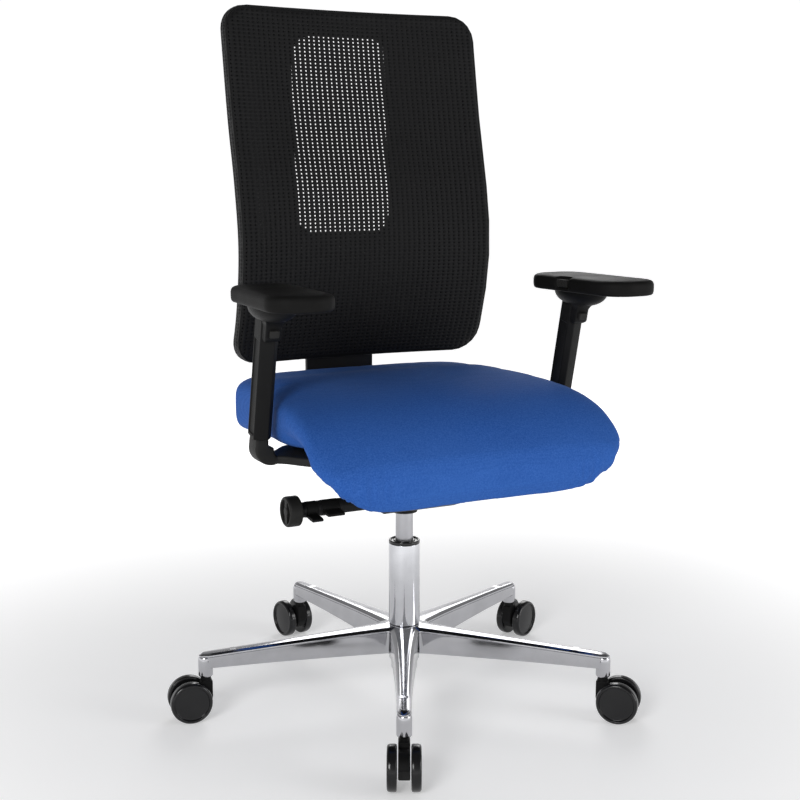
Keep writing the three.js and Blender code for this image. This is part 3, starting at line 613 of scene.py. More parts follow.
wheel = moved(turned([
    (0, 12.0, 0), (4.6, 12.0, 0), (4.6, 9.8, 0.4), (28.5, 9.8, 0.6), (32.0, 10.6, 1.2), (32.5, 13.0, 1.2),
    (32.5, 19.4, 1.4), (31.7, 22.6, 1.6), (29.4, 24.1, 1.2), (27.4, 24.0, 0.6), (26.2, 21.5, 0.9),
    (24.0, 21.4, 1.0), (12.0, 22.3, 0), (0, 22.5, 0),
], 72), turn("Y", 90))
stem = turned([(0, 39, 0), (5.4, 39, 0.4), (5.4, 60, 0), (8.1, 60.5, 0.8), (8.1, 67.6, 1.0), (5.5, 67.7, 0),
               (5.5, 99.4, 0.6), (0, 99.6, 0)], 40)


def arc(cx, cy, r, start, end, steps=14):
    return [(cx + r * math.cos(a), cy + r * math.sin(a)) for a in np.linspace(start, end, steps + 1)]


hood = [(9.5, 61.5), (9.5, 36), (8.6, 31), (2, 21), *arc(-TRAIL, WHEEL_RADIUS, 17, -0.6, -2.2),
        *arc(-TRAIL, WHEEL_RADIUS, 24.5, 2.9, 1.05), (-9.6, 56.5), (-8.8, 61.5)]
for k, at in enumerate(STEMS):
    name = f"caster_{k + 1}"
    piece(f"{name}_stem_turned", moved(stem, at), PLASTIC, name, f"{name}_stem")
    body = piece(f"{name}_housing_moulded", moved(prism(hood, -8.4, 8.4), at), PLASTIC, name,
                 f"{name}_housing", sharp=None)
    bevel(body, 1.6, 4, 40)
    for side, letter in ((-1, "a"), (1, "b")):
        centre = at @ shift(0, -TRAIL, WHEEL_RADIUS)
        piece(f"{name}_wheel_{letter}_turned", moved(mirrored(wheel, side), centre), CASTER,
              f"{name}_roller_{letter}", f"{name}_wheel_{letter}", sharp=50)

# ---------------------------------------------------------------- gas lift
dressed("piston_rod", CHROME, 0.3)
dressed("retaining_clip", DARK, 0.3)
piece("gas_cylinder_drawn", turned([
    (0, 296, 0), (5.6, 296, 0), (5.6, 106, 0), (14, 106, 0.8), (14, 300, 1.0), (13, 360, 0.6), (4, 360, 0.3),
    (4, 348, 0), (0, 348, 0),
], 96), SATIN, "lift", "gas_cylinder", sharp=50)
dressed("valve_pin", CHROME, 0.3)

# ---------------------------------------------------------------- tilt mechanism
dressed("mechanism_housing", DARK, 1.2, 3)
dressed("seat_carrier", DARK, 0.6)
dressed("back_carrier", DARK, 0.9, 3)
for shaft in ("main_pivot_shaft", "front_pivot_shaft", "rear_pivot_shaft"):
    dressed(shaft, SATIN, 0.6)


def coil():
    """The tilt spring as a round wire wound along X, with its end turns closed."""
    turns, half, radius, wire = 7.5, 48, 8.0, 2.3
    centre_y, centre_z = 70, 341.5
    rings = []
    for s in np.linspace(0, 1, 201):
        a = s * turns * 2 * math.pi
        spread = float(smoothstep(s, 0.0, 0.14) * 0.5 + smoothstep(s, 0.86, 1.0) * 0.5)
        x = -half + 2 * half * (0.25 * s + 0.75 * (0.5 * spread + 0.5 * s))
        ring = []
        for b in np.linspace(0, 2 * math.pi, 10, endpoint=False):
            r = radius + wire * math.cos(b)
            ring.append((x + wire * math.sin(b), centre_y + r * math.cos(a), centre_z + r * math.sin(a)))
        rings.append(ring)
    return lofted(rings)


piece("tilt_spring_wound", coil(), SPRING, "lift", "tilt_spring")

# ---------------------------------------------------------------- controls on the sitter's right
CONTROL_Z = 328


def along_control(shape):
    """A shape turned about Z laid on the controls' axis, its height growing towards -X."""
    return moved(shape, shift(0, 0, CONTROL_Z) @ turn("Y", -90))


tube_parts = [turned([
    (5.5, 62.3, 0), (12.0, 62.3, 0.8), (12.0, 117.3, 0.6), (8.0, 117.4, 0), (8.0, 180, 0.6), (5.5, 180, 0.4),
], 64, closed=True)]
tube_parts += [turned([(8.0, low, 0), (12.0, low, 0.5), (12.0, high, 0.5), (8.0, high, 0)], 64, closed=True)
               for low, high in ((146.6, 153.4), (172.6, 181))]
piece("control_tube_drawn", along_control(together(*tube_parts)), DARK, "lift", "control_tube",
      sharp=50)
dressed("tension_shaft", SATIN, 0.3)


def paddle(x0, x1, drop):
    """A collar round the tube with a flat blade that dips and flares forward."""
    low = CONTROL_Z - drop
    top_line = spline_table([(2, CONTROL_Z - 3.8), (-8, low + 4.4), (-18, low + 3.6), (-30, low + 2.2)], 6)
    under_line = spline_table([(2, CONTROL_Z - 9.4), (-8, low - 1.0), (-18, low - 2.4), (-30, low - 3.0)], 6)
    tip = [(-31.6, low + 1.2), (-32.2, low - 0.4), (-31.6, low - 2.2)]
    blade = prism([*top_line, *tip, *under_line[::-1]], x0 + 0.2, x1 - 0.2)
    collar = turned([(8.5, -x1, 0), (12.5, -x1, 0.6), (12.5, -x0, 0.6), (8.5, -x0, 0)], 56, closed=True)
    return together(blade, along_control(collar))


for name, x0, x1, drop, body in (("tilt_lever", -172, -154, 10.5, "tilt_paddle"),
                                 ("height_lever", -146, -118, 5, "height_paddle")):
    lever = piece(f"{name}_moulded", paddle(x0, x1, drop), PLASTIC, body, name, sharp=None)
    bevel(lever, 0.9, 3, 35)

knob_cup = turned([
    (0, 18.6, 0), (18.2, 18.6, 0.4), (19.0, 21.6, 1.2), (22.0, 21.6, 1.6), (23.8, 20.2, 1.6),
    (23.8, 2.4, 1.8),
    (21.8, 0.0, 1.4), (19.5, 0.1, 0.6), (18.3, 1.4, 0.7), (18.0, 9.0, 0.8), (0, 9.0, 0),
], 96)
grip = prism(rectangle(19.4, 4.3, 1.6), 1.2, 11, "z")
knob_boss = turned([(0, 11, 0), (7.6, 11, 0), (7.6, 0.6, 1.6), (0, 0.6, 0)], 48)
knob_at = shift(-205, 0, CONTROL_Z) @ turn("Y", 90)
piece("tension_knob_moulded", moved(together(knob_cup, grip, knob_boss), knob_at), GREY, "tension",
      "tension_knob", sharp=40)

# ---------------------------------------------------------------- seat
SHELL = {"half": 166, "under": 429.4, "thick": 9, "rear": 205, "bend": -125, "lip_y": -240, "lip_z": 376,
         "corner": 75}
SEAT_FRONT, SEAT_REAR = -258, 223


def shell_line(count=40):
    """The shell's lower side line from its rear edge to the tip of its lip, and the normals along it."""
    run_y = np.linspace(SHELL["rear"], SHELL["bend"], count, endpoint=False)
    flat = np.stack([run_y, np.full(count, SHELL["under"])], 1)
    t = np.linspace(0, 1, 18)[:, None]
    a = np.array([SHELL["bend"], SHELL["under"]])
    b = np.array([SHELL["lip_y"] + 38, SHELL["under"] - 4])
    c = np.array([SHELL["lip_y"], SHELL["lip_z"]])
    line = np.concatenate([flat, (1 - t) ** 2 * a + 2 * t * (1 - t) * b + t * t * c])
    run = np.gradient(line, axis=0)
    run /= np.linalg.norm(run, axis=1)[:, None]
    return line, np.stack([run[:, 1], -run[:, 0]], 1)


def shell_half(y, grow=0.0):
    """The shell's half width at y, grown by so much all round."""
    half, rear, front, corner = SHELL["half"] + grow, SHELL["rear"] + grow, SEAT_FRONT - grow, SHELL["corner"]
    past = np.maximum(np.maximum(front + corner - y, y - rear + corner), 0)
    return half - corner + np.sqrt(np.maximum(corner**2 - np.minimum(past, corner) ** 2, 0))


def shell_shape():
    """The seat shell: sections along its side line, narrower towards the lip's tip and thin at both ends."""
    line, normal = shell_line()
    rings = []
    for i, ((y, z), (ny, nz)) in enumerate(zip(line, normal)):
        trim = 1.6 if i in (0, len(line) - 1) else 0
        half = float(shell_half(y)) - 26 * float(smoothstep(-y, 195, 241)) ** 2 - trim / 2
        high = SHELL["thick"] - trim
        section = filleted([(-half, trim, 3), (half, trim, 3), (half, high, 3), (-half, high, 3)], steps=4)
        rings.append([(x, y + n * ny, z + n * nz) for x, n in section])
    return lofted(rings)


piece("seat_shell_moulded", shell_shape(), PLASTIC, "seat", "seat_shell")

CROWN = spline_table([(-258, 424), (-247, 450), (-208, 484), (-156, 508), (-86, 520.5), (12, 525), (108, 523),
                      (180, 517), (214, 501), (223, 474)])
UNDERSIDE = spline_table([(-258, 398), (-244, 370), (-222, 388), (-184, 424), (-120, 436), (0, 431),
                          (120, 421), (205, 415), (223, 440)])


def seat_half(y):
    """The seat's half width: wider at the front, with round corners."""
    straight = 254 + (217 - 254) * float(smoothstep(y, SEAT_FRONT, SEAT_REAR))

    def inset(corner, past):
        along = min(1.0, max(0.0, past / corner))
        return corner * (1 - math.sqrt(1 - along**2))

    return straight - inset(43, SEAT_FRONT + 43 - y) - inset(52, y - SEAT_REAR + 52)


def seat_section(y, shrink):
    """A section of the cushion: squarish, its lower edges drawn in towards the front."""
    half = seat_half(y) - shrink
    forward = float(smoothstep(-y, 20, 190))
    top = float(np.interp(y, CROWN[:, 0], CROWN[:, 1])) - shrink * 0.8
    under = float(np.interp(y, UNDERSIDE[:, 0], UNDERSIDE[:, 1])) + shrink * 0.5
    widest = (under + top) / 2
    a = np.linspace(0, 2 * math.pi, 720, endpoint=False)
    across, up = (np.sign(w) * np.abs(w) ** 0.4 for w in (np.cos(a), np.sin(a)))
    waist = 0.09 * float(smoothstep(-y, 40, 120) * (1 - smoothstep(-y, 205, 240)))
    tuck = (0.11 * forward + waist) * smoothstep(-up, 0, 0.7)
    x = half * across * (1 - tuck)
    z = np.where(up > 0, widest + up * (top - widest), widest + up * (widest - under))
    return resampled(np.stack([x, np.full_like(x, y), z], 1), 150)


def cushion_shape(shrink):
    """The cushion as cut: sections closer together at the front and the rear."""
    s, length = np.linspace(0, 1, 56), SEAT_REAR - SEAT_FRONT
    y = SEAT_FRONT + length * (0.5 - 0.5 * np.cos(s * math.pi)) * 0.75 + length * 0.25 * s
    y = np.clip(y, SEAT_FRONT + shrink + 0.8, SEAT_REAR - shrink - 0.8)
    return lofted([seat_section(v, shrink) for v in np.unique(y)])


def coordinates(ob):
    """The places of an object's vertices, in metres."""
    co = np.empty(len(ob.data.vertices) * 3)
    ob.data.vertices.foreach_get("co", co)
    return co.reshape(-1, 3)


def place(ob, co):
    ob.data.vertices.foreach_set("co", co.ravel())
    ob.data.update()


def inflated(ob, voxel, cap, pressure, last_frame):
    """Remeshes a closed piece, blows it up as cloth, and limits how far each point moved."""
    remesh = ob.modifiers.new("voxels", "REMESH")
    remesh.mode = "VOXEL"
    remesh.voxel_size = voxel * MM
    applied(ob)
    start = coordinates(ob)
    cloth = ob.modifiers.new("cloth", "CLOTH")
    settings = cloth.settings
    settings.quality = 5
    settings.mass = 0.3
    settings.use_pressure = True
    settings.uniform_pressure_force = pressure
    settings.effector_weights.gravity = 0
    settings.tension_stiffness = settings.compression_stiffness = 18
    settings.bending_stiffness = 0.6
    cloth.point_cache.frame_start = 1
    cloth.point_cache.frame_end = last_frame
    for f in range(1, last_frame + 1):
        bpy.context.scene.frame_set(f)
    applied(ob)
    bpy.context.scene.frame_set(1)
    moved_by = coordinates(ob) - start
    length = np.linalg.norm(moved_by, axis=1)
    print("CLOTH", ob.name, len(start), "moved mean", length.mean() / MM, "max", length.max() / MM)
    limit = cap * MM
    soft = limit * np.tanh(length / limit)
    place(ob, start + moved_by * (soft / np.maximum(length, 1e-9))[:, None])


def shaped(co, shape, share):
    """Draws the blown-up cover part of the way back to the cushion's cut shape, so its outline stays true."""
    tree = BVHTree.FromPolygons([Vector(v) * MM for v in shape[0]], shape[1])
    near = np.array([tree.find_nearest(Vector(v))[0][:] for v in co])
    return co + (near - co) * share


def seat_details(co):
    """The cover's own shape: a sitting hollow, a drawn-in hem, gathers round the front corners."""
    x, y, z = co[:, 0] / MM, co[:, 1] / MM, co[:, 2] / MM
    top = smoothstep(z, 470, 505)
    # A soft trough across the rear, and shallow thigh hollows beside a low central crown.
    trough = 5.0 * np.exp(-(((y - 128) / 42) ** 2)) * smoothstep(214 - np.abs(x), 0, 70)
    thighs = 2.6 * np.exp(-(((np.abs(x) - 95) / 60) ** 2) - (((y + 20) / 130) ** 2))
    z = z - top * (trough + thighs)
    # The sides run in under the foam ahead of the arms.
    under_side = smoothstep(446 - z, 0, 44) * smoothstep(-y, 45, 135) * (1 - 0.45 * smoothstep(-y, 215, 248))
    x = x * (1 - 0.11 * under_side)
    # Gathers: folds that run up from the hem, strongest round the front corners, dying out below the middle.
    turn_angle = np.arctan2(x, -(y + 90))
    low = smoothstep(462 - z, 0, 62)
    side = smoothstep(np.abs(x), 120, 200) * smoothstep(-y, 60, 150)
    run = turn_angle * 215 + 3.0 * np.sin(turn_angle * 9) + 2.0 * np.sin(turn_angle * 23 + 1)
    fold = np.sin(run * 2 * math.pi / 12.5) * 0.75 + np.sin(run * 2 * math.pi / 7.3 + 2) * 0.25
    push = 1.9 * low * side * fold
    away = np.stack([x, y + 60], 1)
    away /= np.maximum(np.linalg.norm(away, axis=1), 1e-6)[:, None]
    x = x + away[:, 0] * push
    y = y + away[:, 1] * push
    # Long faint drags from the waterfall front, where the jersey is pulled down over the edge.
    drag = 0.8 * np.sin(x / 31 + 0.9 * np.sin(x / 83)) * smoothstep(-y, 150, 225) * smoothstep(z, 380, 430)
    y = y - drag
    # The underside rests on the shell and clears the arm feet.
    line, _ = shell_line()
    over = np.interp(y, line[::-1, 0], line[::-1, 1]) + SHELL["thick"] + 0.6
    tilt = np.interp(y, [-245, -205, -150, -120], [11.0, 5.0, 1.0, 0.0])
    inside = (np.abs(x) < shell_half(y, 1.5)) & (y > SHELL["lip_y"] - 3) & (y < SHELL["rear"] + 2)
    z = np.where(inside, np.maximum(z, over + tilt), z)
    feet = (y > -122) & (y < 34)
    z = np.where(feet, np.maximum(z, SHELL["under"] + 0.4), z)
    return np.stack([x, y, z], 1) * MM


cushion = piece("seat_cushion_upholstered", cushion_shape(5.0), BLUE, "seat", "seat_cushion",
                sharp=None)
inflated(cushion, voxel=5.4, cap=8.5, pressure=4.0, last_frame=14)
refine = cushion.modifiers.new("refine", "SUBSURF")
refine.levels = refine.render_levels = 1
applied(cushion)
place(cushion, seat_details(shaped(coordinates(cushion), cushion_shape(-1.0), share=0.75)))
cushion.data.materials.clear()
cushion.data.materials.append(BLUE)
cushion.data.shade_smooth()

# ---------------------------------------------------------------- back
BACK = {"half": 222, "under": 534, "top": 1100, "corner": 42, "hollow": 22}
BACK_MID_Z = (BACK["under"] + BACK["top"]) / 2
BACK_HALF_Z = (BACK["top"] - BACK["under"]) / 2
CORE_X, CORE_Z = BACK["half"] - BACK["corner"], BACK_HALF_Z - BACK["corner"]  # centres of the corners
EDGE_LINE = spline_table([(534, 161), (620, 127), (720, 110.5), (820, 123), (930, 149.5), (1100, 180)])


def mesh_face(x, z):
    """The mesh is drawn in a shallow hollow between the side edges."""
    edge_y = np.interp(z, EDGE_LINE[:, 0], EDGE_LINE[:, 1])
    return edge_y + BACK["hollow"] * (1 - np.clip(np.abs(x) / BACK["half"], 0, 1) ** 2)


def shell_face(x, z):
    """The front face of the rear shell: behind the mesh at the rim, nearly upright in the middle."""
    rim = mesh_face(x, z) + 24.6
    middle = 222 + (z - 744) * 0.07
    t = smoothstep(BACK["half"] - np.abs(x), 28, 105)
    ends = smoothstep(np.minimum(z - BACK["under"], BACK["top"] - z), 14, 70)
    return np.maximum(rim, rim + (middle - rim) * t * ends)


ROUND = 11.0  # radius of the cover's edge
WALL = 9.0  # straight side behind it
TURN_IN = 4.0  # radius where the cover turns in behind the frame
FLAT = BACK["corner"] - ROUND
QUARTER, BEND = ROUND * math.pi / 2, TURN_IN * math.pi / 2


def cover_point(p, q):
    """Carries a point of the flat cover over the frame's face, round its edge, down the side, and in."""
    vx = np.sign(p) * np.maximum(np.abs(p) - CORE_X, 0)
    vz = np.sign(q) * np.maximum(np.abs(q) - CORE_Z, 0)
    rho = np.hypot(vx, vz)
    nx, nz = vx / np.maximum(rho, 1e-9), vz / np.maximum(rho, 1e-9)
    s = np.maximum(rho - FLAT, 0)
    a = np.clip(s / ROUND, 0, math.pi / 2)
    b = np.clip((s - QUARTER - WALL) / TURN_IN, 0, math.pi / 2)
    reach = FLAT + ROUND * np.sin(a) - TURN_IN * (1 - np.cos(b)) - np.maximum(s - QUARTER - WALL - BEND, 0)
    depth = ROUND * (1 - np.cos(a)) + np.clip(s - QUARTER, 0, WALL) + TURN_IN * np.sin(b)
    reach = np.where(rho < FLAT, rho, reach)
    x = np.clip(p, -CORE_X, CORE_X) + nx * reach
    z = np.clip(q, -CORE_Z, CORE_Z) + nz * reach + BACK_MID_Z
    out = smoothstep(rho, FLAT - 8, FLAT + 6)
    slack = (1 - out) * (1.9 * np.sin(x / 43 + 0.8) * np.sin(z / 52 + x / 90) + 0.5 * np.sin(z / 19))
    pull = 0.9 * np.sin(z / 9.5) * smoothstep(np.abs(x), 196, 219) * (1 - smoothstep(depth, 12, 22))
    y = mesh_face(x, z) + depth + slack * 0.8
    x = x - np.sign(x) * np.maximum(pull, 0) * 0.6
    at_end = smoothstep(np.abs(z - BACK_MID_Z), BACK_HALF_Z - 7, BACK_HALF_Z)
    tug = 0.8 * (0.5 + 0.5 * np.sin(x * 2 * math.pi / 27.0)) * at_end
    z = z - np.sign(z - BACK_MID_Z) * tug
    return np.stack([x, y, z], 1)


def cover_cells():
    """The cover as one perforated sheet: cords between columns of holes, each hole with its own wall."""
    pitch_x, pitch_z = 444 / 50, 566 / 94
    reach_x, reach_z = 28, 51
    edge = FLAT + QUARTER + WALL + BEND + 6
    hole = [(math.cos(t), math.sin(t)) for t in np.linspace(0, 2 * math.pi, 6, endpoint=False)]
    flat, lift, index, faces = [], [], {}, []

    def vertex(u, v, key, raised):
        if key not in index:
            index[key] = len(flat)
            flat.append((u, v))
            lift.append(raised)
        return index[key]

    for i in range(-reach_x, reach_x):
        for j in range(-reach_z, reach_z):
            cu, cv = (i + 0.5) * pitch_x, (j + 0.5) * pitch_z
            if math.hypot(max(abs(cu) - CORE_X, 0), max(abs(cv) - CORE_Z, 0)) > edge:
                continue
            corners = [vertex((i + a) * pitch_x, (j + b) * pitch_z, ("c", i + a, j + b), 0.0)
                       for a, b in ((1, 1), (0, 1), (0, 0), (1, 0))]
            mids = [vertex((i + a) * pitch_x, (j + 0.5) * pitch_z, ("m", i + a, j), 0.42) for a in (1, 0)]
            rim, deep = ([vertex(cu + half_u * c, cv + half_v * s, (kind, i, j, n), raised)
                          for n, (c, s) in enumerate(hole)]
                         for kind, half_u, half_v, raised in (("h", 1.5, 1.56, 0.05), ("d", 1.44, 1.5, -0.8)))
            around = [mids[0], *corners[:2], mids[1], *corners[2:]]
            faces += [(rim[n - 1], around[n - 1], around[n], rim[n]) for n in range(6)]
            faces += [(deep[n - 1], rim[n - 1], rim[n], deep[n]) for n in range(6)]
    return np.array(flat), np.array(lift), faces


def cover_shape():
    """The perforated sheet carried round the frame, its cords raised along the sheet's own normal."""
    flat, lift, faces = cover_cells()
    p, q = flat[:, 0], flat[:, 1]
    here = cover_point(p, q)
    step = 0.6
    du = cover_point(p + step, q) - cover_point(p - step, q)
    dv = cover_point(p, q + step) - cover_point(p, q - step)
    normal = np.cross(du, dv)
    normal /= np.maximum(np.linalg.norm(normal, axis=1), 1e-9)[:, None]
    return here + normal * lift[:, None], faces


cover = piece("back_cover_knit", cover_shape(), MESH, "backrest", "back_mesh", sharp=None,
              outward=False)
dressed("back_frame", PLASTIC, 1.5, 2)

WINDOW = {"half": 86, "under": 741, "top": 1060, "corner": 30}
RINGS = 26  # from the window to the outer edge


def back_outline(inset, count):
    """The back's outline in X and Z, drawn in by an inset, as count points."""
    half_x, half_z, corner = BACK["half"] - inset, BACK_HALF_Z - inset, BACK["corner"] - inset
    return resampled(rounded_rect(half_x, half_z, corner, 0, BACK_MID_Z, 14), count)


def shell_back():
    """The rear shell: a moulded skin round the window, thicker at its rolled rims."""
    half_z, mid_z = (WINDOW["top"] - WINDOW["under"]) / 2, (WINDOW["top"] + WINDOW["under"]) / 2
    inner = resampled(rounded_rect(WINDOW["half"], half_z, WINDOW["corner"], 0, mid_z, 12), 240)
    rings = [inner + (back_outline(1.5, 240) - inner) * t for t in np.linspace(0, 1, RINGS)]
    front = [np.stack([r[:, 0], shell_face(r[:, 0], r[:, 1]), r[:, 1]], 1) for r in rings]
    thick = 4.0 + 2.0 * (1 - smoothstep(np.arange(RINGS), 0, 2.2))
    rear = [f + np.array([0, t, 0]) for f, t in zip(front, thick)]
    loop = [*front, outer_round(front[-1], rear[-1]), *rear[::-1], front[0] + np.array([0, 3.0, 0])]
    return lofted(loop, caps=False, closed=True)


def outer_round(front, rear):
    """The ring between the two faces at the shell's outer edge, pushed outward to round it."""
    middle = (front + rear) / 2
    away = middle - np.array([0, 0, BACK_MID_Z])
    away[:, 1] = 0
    away /= np.linalg.norm(away, axis=1)[:, None]
    return middle + away * 1.4


piece("back_shell_moulded", shell_back(), PLASTIC, "backrest", "back_shell", sharp=50)


def piping(inset, behind, radius):
    """A round welt along the back's outline, where the cover is tucked into the shell."""
    line = back_outline(inset, 260)
    centre = np.stack([line[:, 0], mesh_face(line[:, 0], line[:, 1]) + behind, line[:, 1]], 1)
    run = np.roll(centre, -1, 0) - np.roll(centre, 1, 0)
    run /= np.linalg.norm(run, axis=1)[:, None]
    away = np.stack([run[:, 2], np.zeros(len(run)), -run[:, 0]], 1)
    away /= np.linalg.norm(away, axis=1)[:, None]
    up = np.cross(run, away)
    angles = np.linspace(0, 2 * math.pi, 10, endpoint=False)
    rings = [centre + radius * (math.cos(a) * away + math.sin(a) * up) for a in angles]
    return lofted(np.stack(rings, 1), caps=False, closed=True)


piece("back_welt", piping(inset=3.6, behind=25.4, radius=2.4), PLASTIC, "backrest")
dressed("height_guide", PLASTIC, 2.0, 3)

# ---------------------------------------------------------------- armrests, drawn for +X and mirrored
ARM_X, ARM_Y, ARM_Z, ARM_LEAN = 260, -41, 459, 13  # the sleeve's lower end, and its lean
LEANING = shift(ARM_X, ARM_Y, ARM_Z) @ turn("X", ARM_LEAN)


def octagon(half_x, half_y, notch, cut=7.5, fillet=1.6, panel=10.4):
    """The sleeve's outline, with a shallow panel sunk in each flat side."""
    right = [(half_x, -half_y + cut, fillet), (half_x, -panel, 0.3), (half_x - notch, -panel + 1.0, 0.3),
             (half_x - notch, panel - 1.0, 0.3), (half_x, panel, 0.3), (half_x, half_y - cut, fillet),
             (half_x - cut, half_y, fillet)]
    left = [(-x, -y, r) for x, y, r in right]
    return filleted(right + left, steps=3)


def sleeve():
    """The outer sleeve, with the panels sunk between its ends."""
    levels = ((0, -1.2, 0), (0.5, -0.4, 0), (1.6, 0, 0), (5.5, 0, 0), (7.0, 0, 1.5), (150, 0, 1.5),
              (152, 0, 0), (188, 0, 0))
    rings = [[(x, y, z) for x, y in octagon(13.5 + grow, 20 + grow, notch)] for z, grow, notch in levels]
    return moved(lofted(rings), LEANING)


def button_housing():
    """The solid block on the sleeve's front, under the bowl, that the height button stands out of."""
    rings = []
    for s, out, half in ((152.5, 18.6, 8.5), (154, 21.5, 10.2), (157.5, 26.4, 11.6), (160.5, 27.8, 12.0),
                         (178, 27.8, 12.0), (184, 30.5, 13.5), (190, 35, 16.5)):
        corners = [(-half, -out, 2.4), (half, -out, 2.4), (half, -14, 0), (-half, -14, 0)]
        rings.append([(x, y, s) for x, y in filleted(corners, steps=4)])
    return moved(lofted(rings), LEANING)


def elbow():
    """The bracket: a post inside the sleeve, an elbow under it, and a foot that spreads under the seat."""
    rings = []

    def ring(centre, out, half, along, deep, fillet):
        section = rectangle(half, deep, fillet, 4)
        rings.append([np.array(centre) + u * np.array(out) + v * np.array(along) for u, v in section])

    _, across, tilt, foot_at = LEANING[:3].T
    for s, half, fillet in ((118, 7.4, 3), (116, 8.4, 3), (0, 8.4, 3), (-0.6, 8.6, 4), (-0.9, 9.3, 4),
                            (-3, 9.8, 4), (-10, 10, 4)):
        ring(foot_at + tilt * s, (1, 0, 0), half, across, half + 6, fillet)
    radius, thin = 24.0, 6.2
    mid_z = 422.4
    for i in range(1, 13):
        a = i / 12 * math.pi / 2
        swell = 2.6 * math.sin(2 * a) ** 2
        half = 10.0 * math.cos(a) + thin * math.sin(a) + swell
        x = ARM_X - radius + (radius - swell) * math.cos(a)
        z = mid_z + radius - (radius - swell) * math.sin(a)
        y = ARM_Y - (z - ARM_Z) * math.tan(rad(ARM_LEAN))
        ring((x, y, z), (math.cos(a), 0, -math.sin(a)), half, (0, 1, 0), 16.2 + 4.0 * math.sin(a), 5.0)
    for x, y, deep in ((230, -34, 22), (222, -35, 29), (212, -37, 43), (202, -38, 55), (193, -38, 59.5),
                       (150, -38, 60), (113.5, -38, 60), (112, -38, 59)):
        ring((x, y, mid_z), (0, 0, -1), thin if x > 113 else thin - 1, (0, 1, 0), deep, 4.0)
    return lofted(rings)


def bowl():
    """The cup under the pad: half an ellipsoid with a rolled rim, flat on top."""
    profile = [(0.9, 0.0), (0.975, -0.012), (1.0, -0.05), (1.0, -0.1)]
    profile += [(math.cos(a) ** 0.86, -0.06 - 0.94 * math.sin(a))
                for a in np.linspace(0.1, math.pi / 2, 18)[:-1]]
    angles = np.linspace(0, 2 * math.pi, 72, endpoint=False)
    rings = [[(31 * r * math.cos(a), 58 * r * math.sin(a), 25 * h) for a in angles] for r, h in profile]
    return moved(lofted(rings), shift(ARM_X, -102, 658))


def padded_top():
    """The arm pad: a rounded bar with a crowned top, undercut at its foot, and a thumb recess."""
    profile = [(0.3, -6.5), (0.0, -5.0), (0.6, -2.6), (2.0, -1.0), (4.2, -0.2), (6.5, 0.1)]
    profile += [(z, 0.25 - 0.0016 * (z - 11) ** 2) for z in (8, 9.5, 11, 12.5, 14, 15.5)]
    profile += [(17.2, -0.2), (18.8, -0.8), (20.2, -1.8), (21.4, -3.3), (22.2, -5.2), (22.8, -7.6),
                (23.2, -11), (23.5, -16), (23.7, -23), (23.9, -31)]
    rings = []
    for z, grow in profile:
        line = resampled(rounded_rect(48.5 + grow, 114 + grow, max(40 + grow, 7.5), 0, 0, 16), 200)
        rings.append(np.concatenate([line, np.full((len(line), 1), z)], 1))
    verts, faces = lofted(rings)
    x, y, z = verts.T
    near = smoothstep(-x, 40, 44) * (1 - smoothstep(np.abs(y - 12), 13, 17)) * smoothstep(z, 3.5, 6.5)
    verts[:, 0] += near * 6.0  # the recess's depth
    return verts, faces


PAD_AT = shift(ARM_X - 1, -133, 658.6) @ turn("Z", 3.3)


def thumb_button():
    """The button in the pad's inner side, with three raised ribs."""
    block = prism(rectangle(13, 5.6, 2.5), -49.3, -42.5)
    rib = prism(rectangle(0.9, 4, 0.6), -50.1, -48)
    ribs = [moved(rib, shift(0, y, 0)) for y in (-5.5, 0, 5.5)]
    return moved(together(block, *ribs), PAD_AT @ shift(0, 12, 13))


# Piece, shape, material, body, slot, replaced node, angle of its sharp edges.
ARM_PIECES = [
    ("arm_sleeve_moulded", sleeve(), PLASTIC, "arm", "black_plastic", "arm_sleeve", 24),
    ("button_housing", button_housing(), PLASTIC, "arm", "black_plastic", None, 40),
    ("arm_bracket_cast", elbow(), GREY, "seat", "black_plastic", "arm_bracket", 35),
    ("arm_support_moulded", bowl(), PLASTIC, "arm", "black_plastic", "arm_support", 45),
    ("arm_pad_skinned", moved(padded_top(), PAD_AT), SKIN, "pad", "pad_skin", "arm_pad", None),
    ("pad_button_moulded", thumb_button(), GREY, "pad_trigger", "grey_plastic", "pad_button", None),
]
for label, side in (("left", 1), ("right", -1)):
    made = {}
    for name, shape, material, body, slot, replaced, sharp in ARM_PIECES:
        rides_on = body if body == "seat" else f"{label}_{body}"
        made[name] = piece(f"{label}_{name}", mirrored(shape, side), material, rides_on,
                           replaced and f"{label}_{replaced}", sharp)
    bevel(made["button_housing"], 0.4, 2, 50)
    dressed(f"{label}_height_button", GREY, 1.6, 3)
    dressed(f"{label}_pad_plate", PLASTIC, 0.6)
    bevel(made["pad_button_moulded"], 0.5, 2, 35)

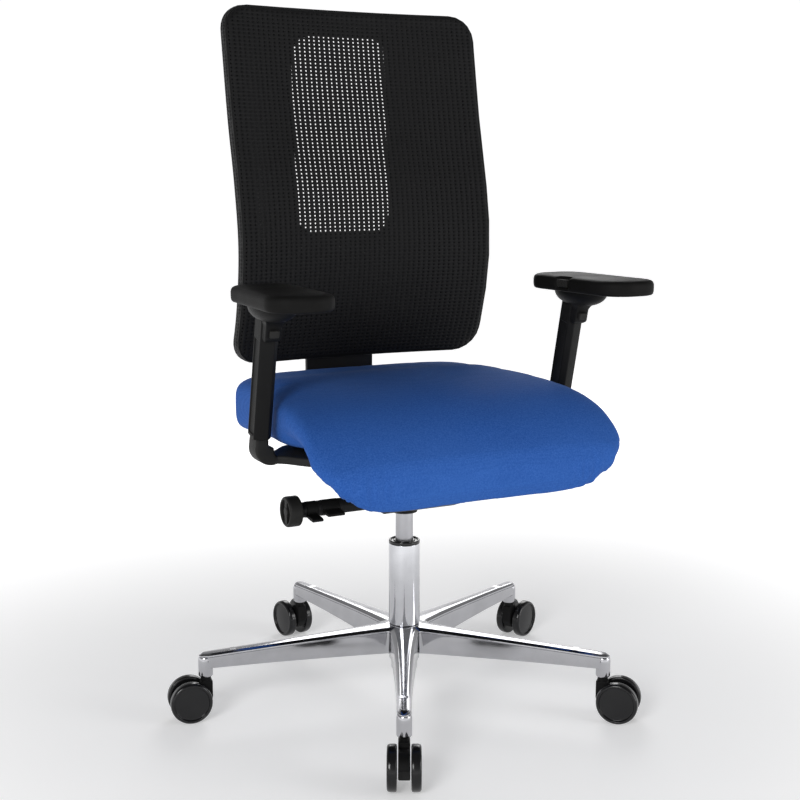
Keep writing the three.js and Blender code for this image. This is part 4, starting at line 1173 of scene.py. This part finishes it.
# ---------------------------------------------------------------- floor, light and camera
# The floor glows a little, more with the distance from the chair, so that it runs out to white.
paper = Paint("floor", (0.82, 0.82, 0.825), 0.7, Specular_IOR_Level=0.1, Emission_Color=(1, 1, 1, 1))
distance = paper.node("VectorMath", operation="LENGTH")
paper.link(paper.coords, distance.inputs[0])
glow = paper.span(distance.outputs["Value"], 0.4, 1.6, 0.3, 0.8, interpolation_type="SMOOTHSTEP")
paper.link(glow, paper.shader.inputs["Emission Strength"])
bpy.ops.mesh.primitive_circle_add(vertices=96, radius=40, fill_type="NGON", location=(0, 0, 0))
floor = bpy.context.object
floor.name = "floor"
floor.data.materials.append(paper.mat)


def softbox(name, at, width, height, power):
    """A rectangular light that faces the middle of the chair."""
    light = bpy.data.lights.new(name, "AREA")
    light.shape = "RECTANGLE"
    light.size, light.size_y = width, height
    light.energy = power
    ob = bpy.data.objects.new(name, light)
    ob.location = at
    ob.rotation_euler = (Vector((0, 0, 0.6)) - Vector(at)).to_track_quat("-Z", "Y").to_euler()
    bpy.context.scene.collection.objects.link(ob)


softbox("key", (-2.9, -2.4, 1.9), 1.4, 1.4, 72)
softbox("fill", (2.6, -2.6, 1.1), 1.6, 1.8, 42)
softbox("rim", (1.6, 2.8, 1.9), 1.6, 1.6, 30)

world = bpy.data.worlds.new("studio")
bpy.context.scene.world = world
world.use_nodes = True
tree = world.node_tree
sky = tree.nodes["Background"]
coords = tree.nodes.new("ShaderNodeTexCoord")
split = tree.nodes.new("ShaderNodeSeparateXYZ")
tree.links.new(coords.outputs["Generated"], split.inputs[0])
ramp = tree.nodes.new("ShaderNodeValToRGB")
tree.links.new(split.outputs["Z"], ramp.inputs["Fac"])
levels = [(0.0, 1.0), (0.14, 1.0), (0.3, 0.42), (0.75, 0.12)]
for _ in levels[2:]:
    ramp.color_ramp.elements.new(0.5)
for element, (position, level) in zip(ramp.color_ramp.elements, levels):
    element.position = position
    element.color = (level, level, level * 1.01, 1)
tree.links.new(ramp.outputs[0], sky.inputs["Color"])
sky.inputs["Strength"].default_value = 1.02
bpy.context.scene.view_settings.view_transform = "Standard"

camera_data = bpy.data.cameras.new("camera")
camera_data.lens = 60.2
camera_data.sensor_width = 36
camera = bpy.data.objects.new("camera", camera_data)
camera.location = (-0.9445, -1.8537, 0.8444)
look, pitch = rad(-26.81), rad(9.77)
forward = Vector((-math.sin(look) * math.cos(pitch), math.cos(look) * math.cos(pitch), -math.sin(pitch)))
camera.rotation_euler = forward.to_track_quat("-Z", "Y").to_euler()
bpy.context.scene.collection.objects.link(camera)
bpy.context.scene.camera = camera
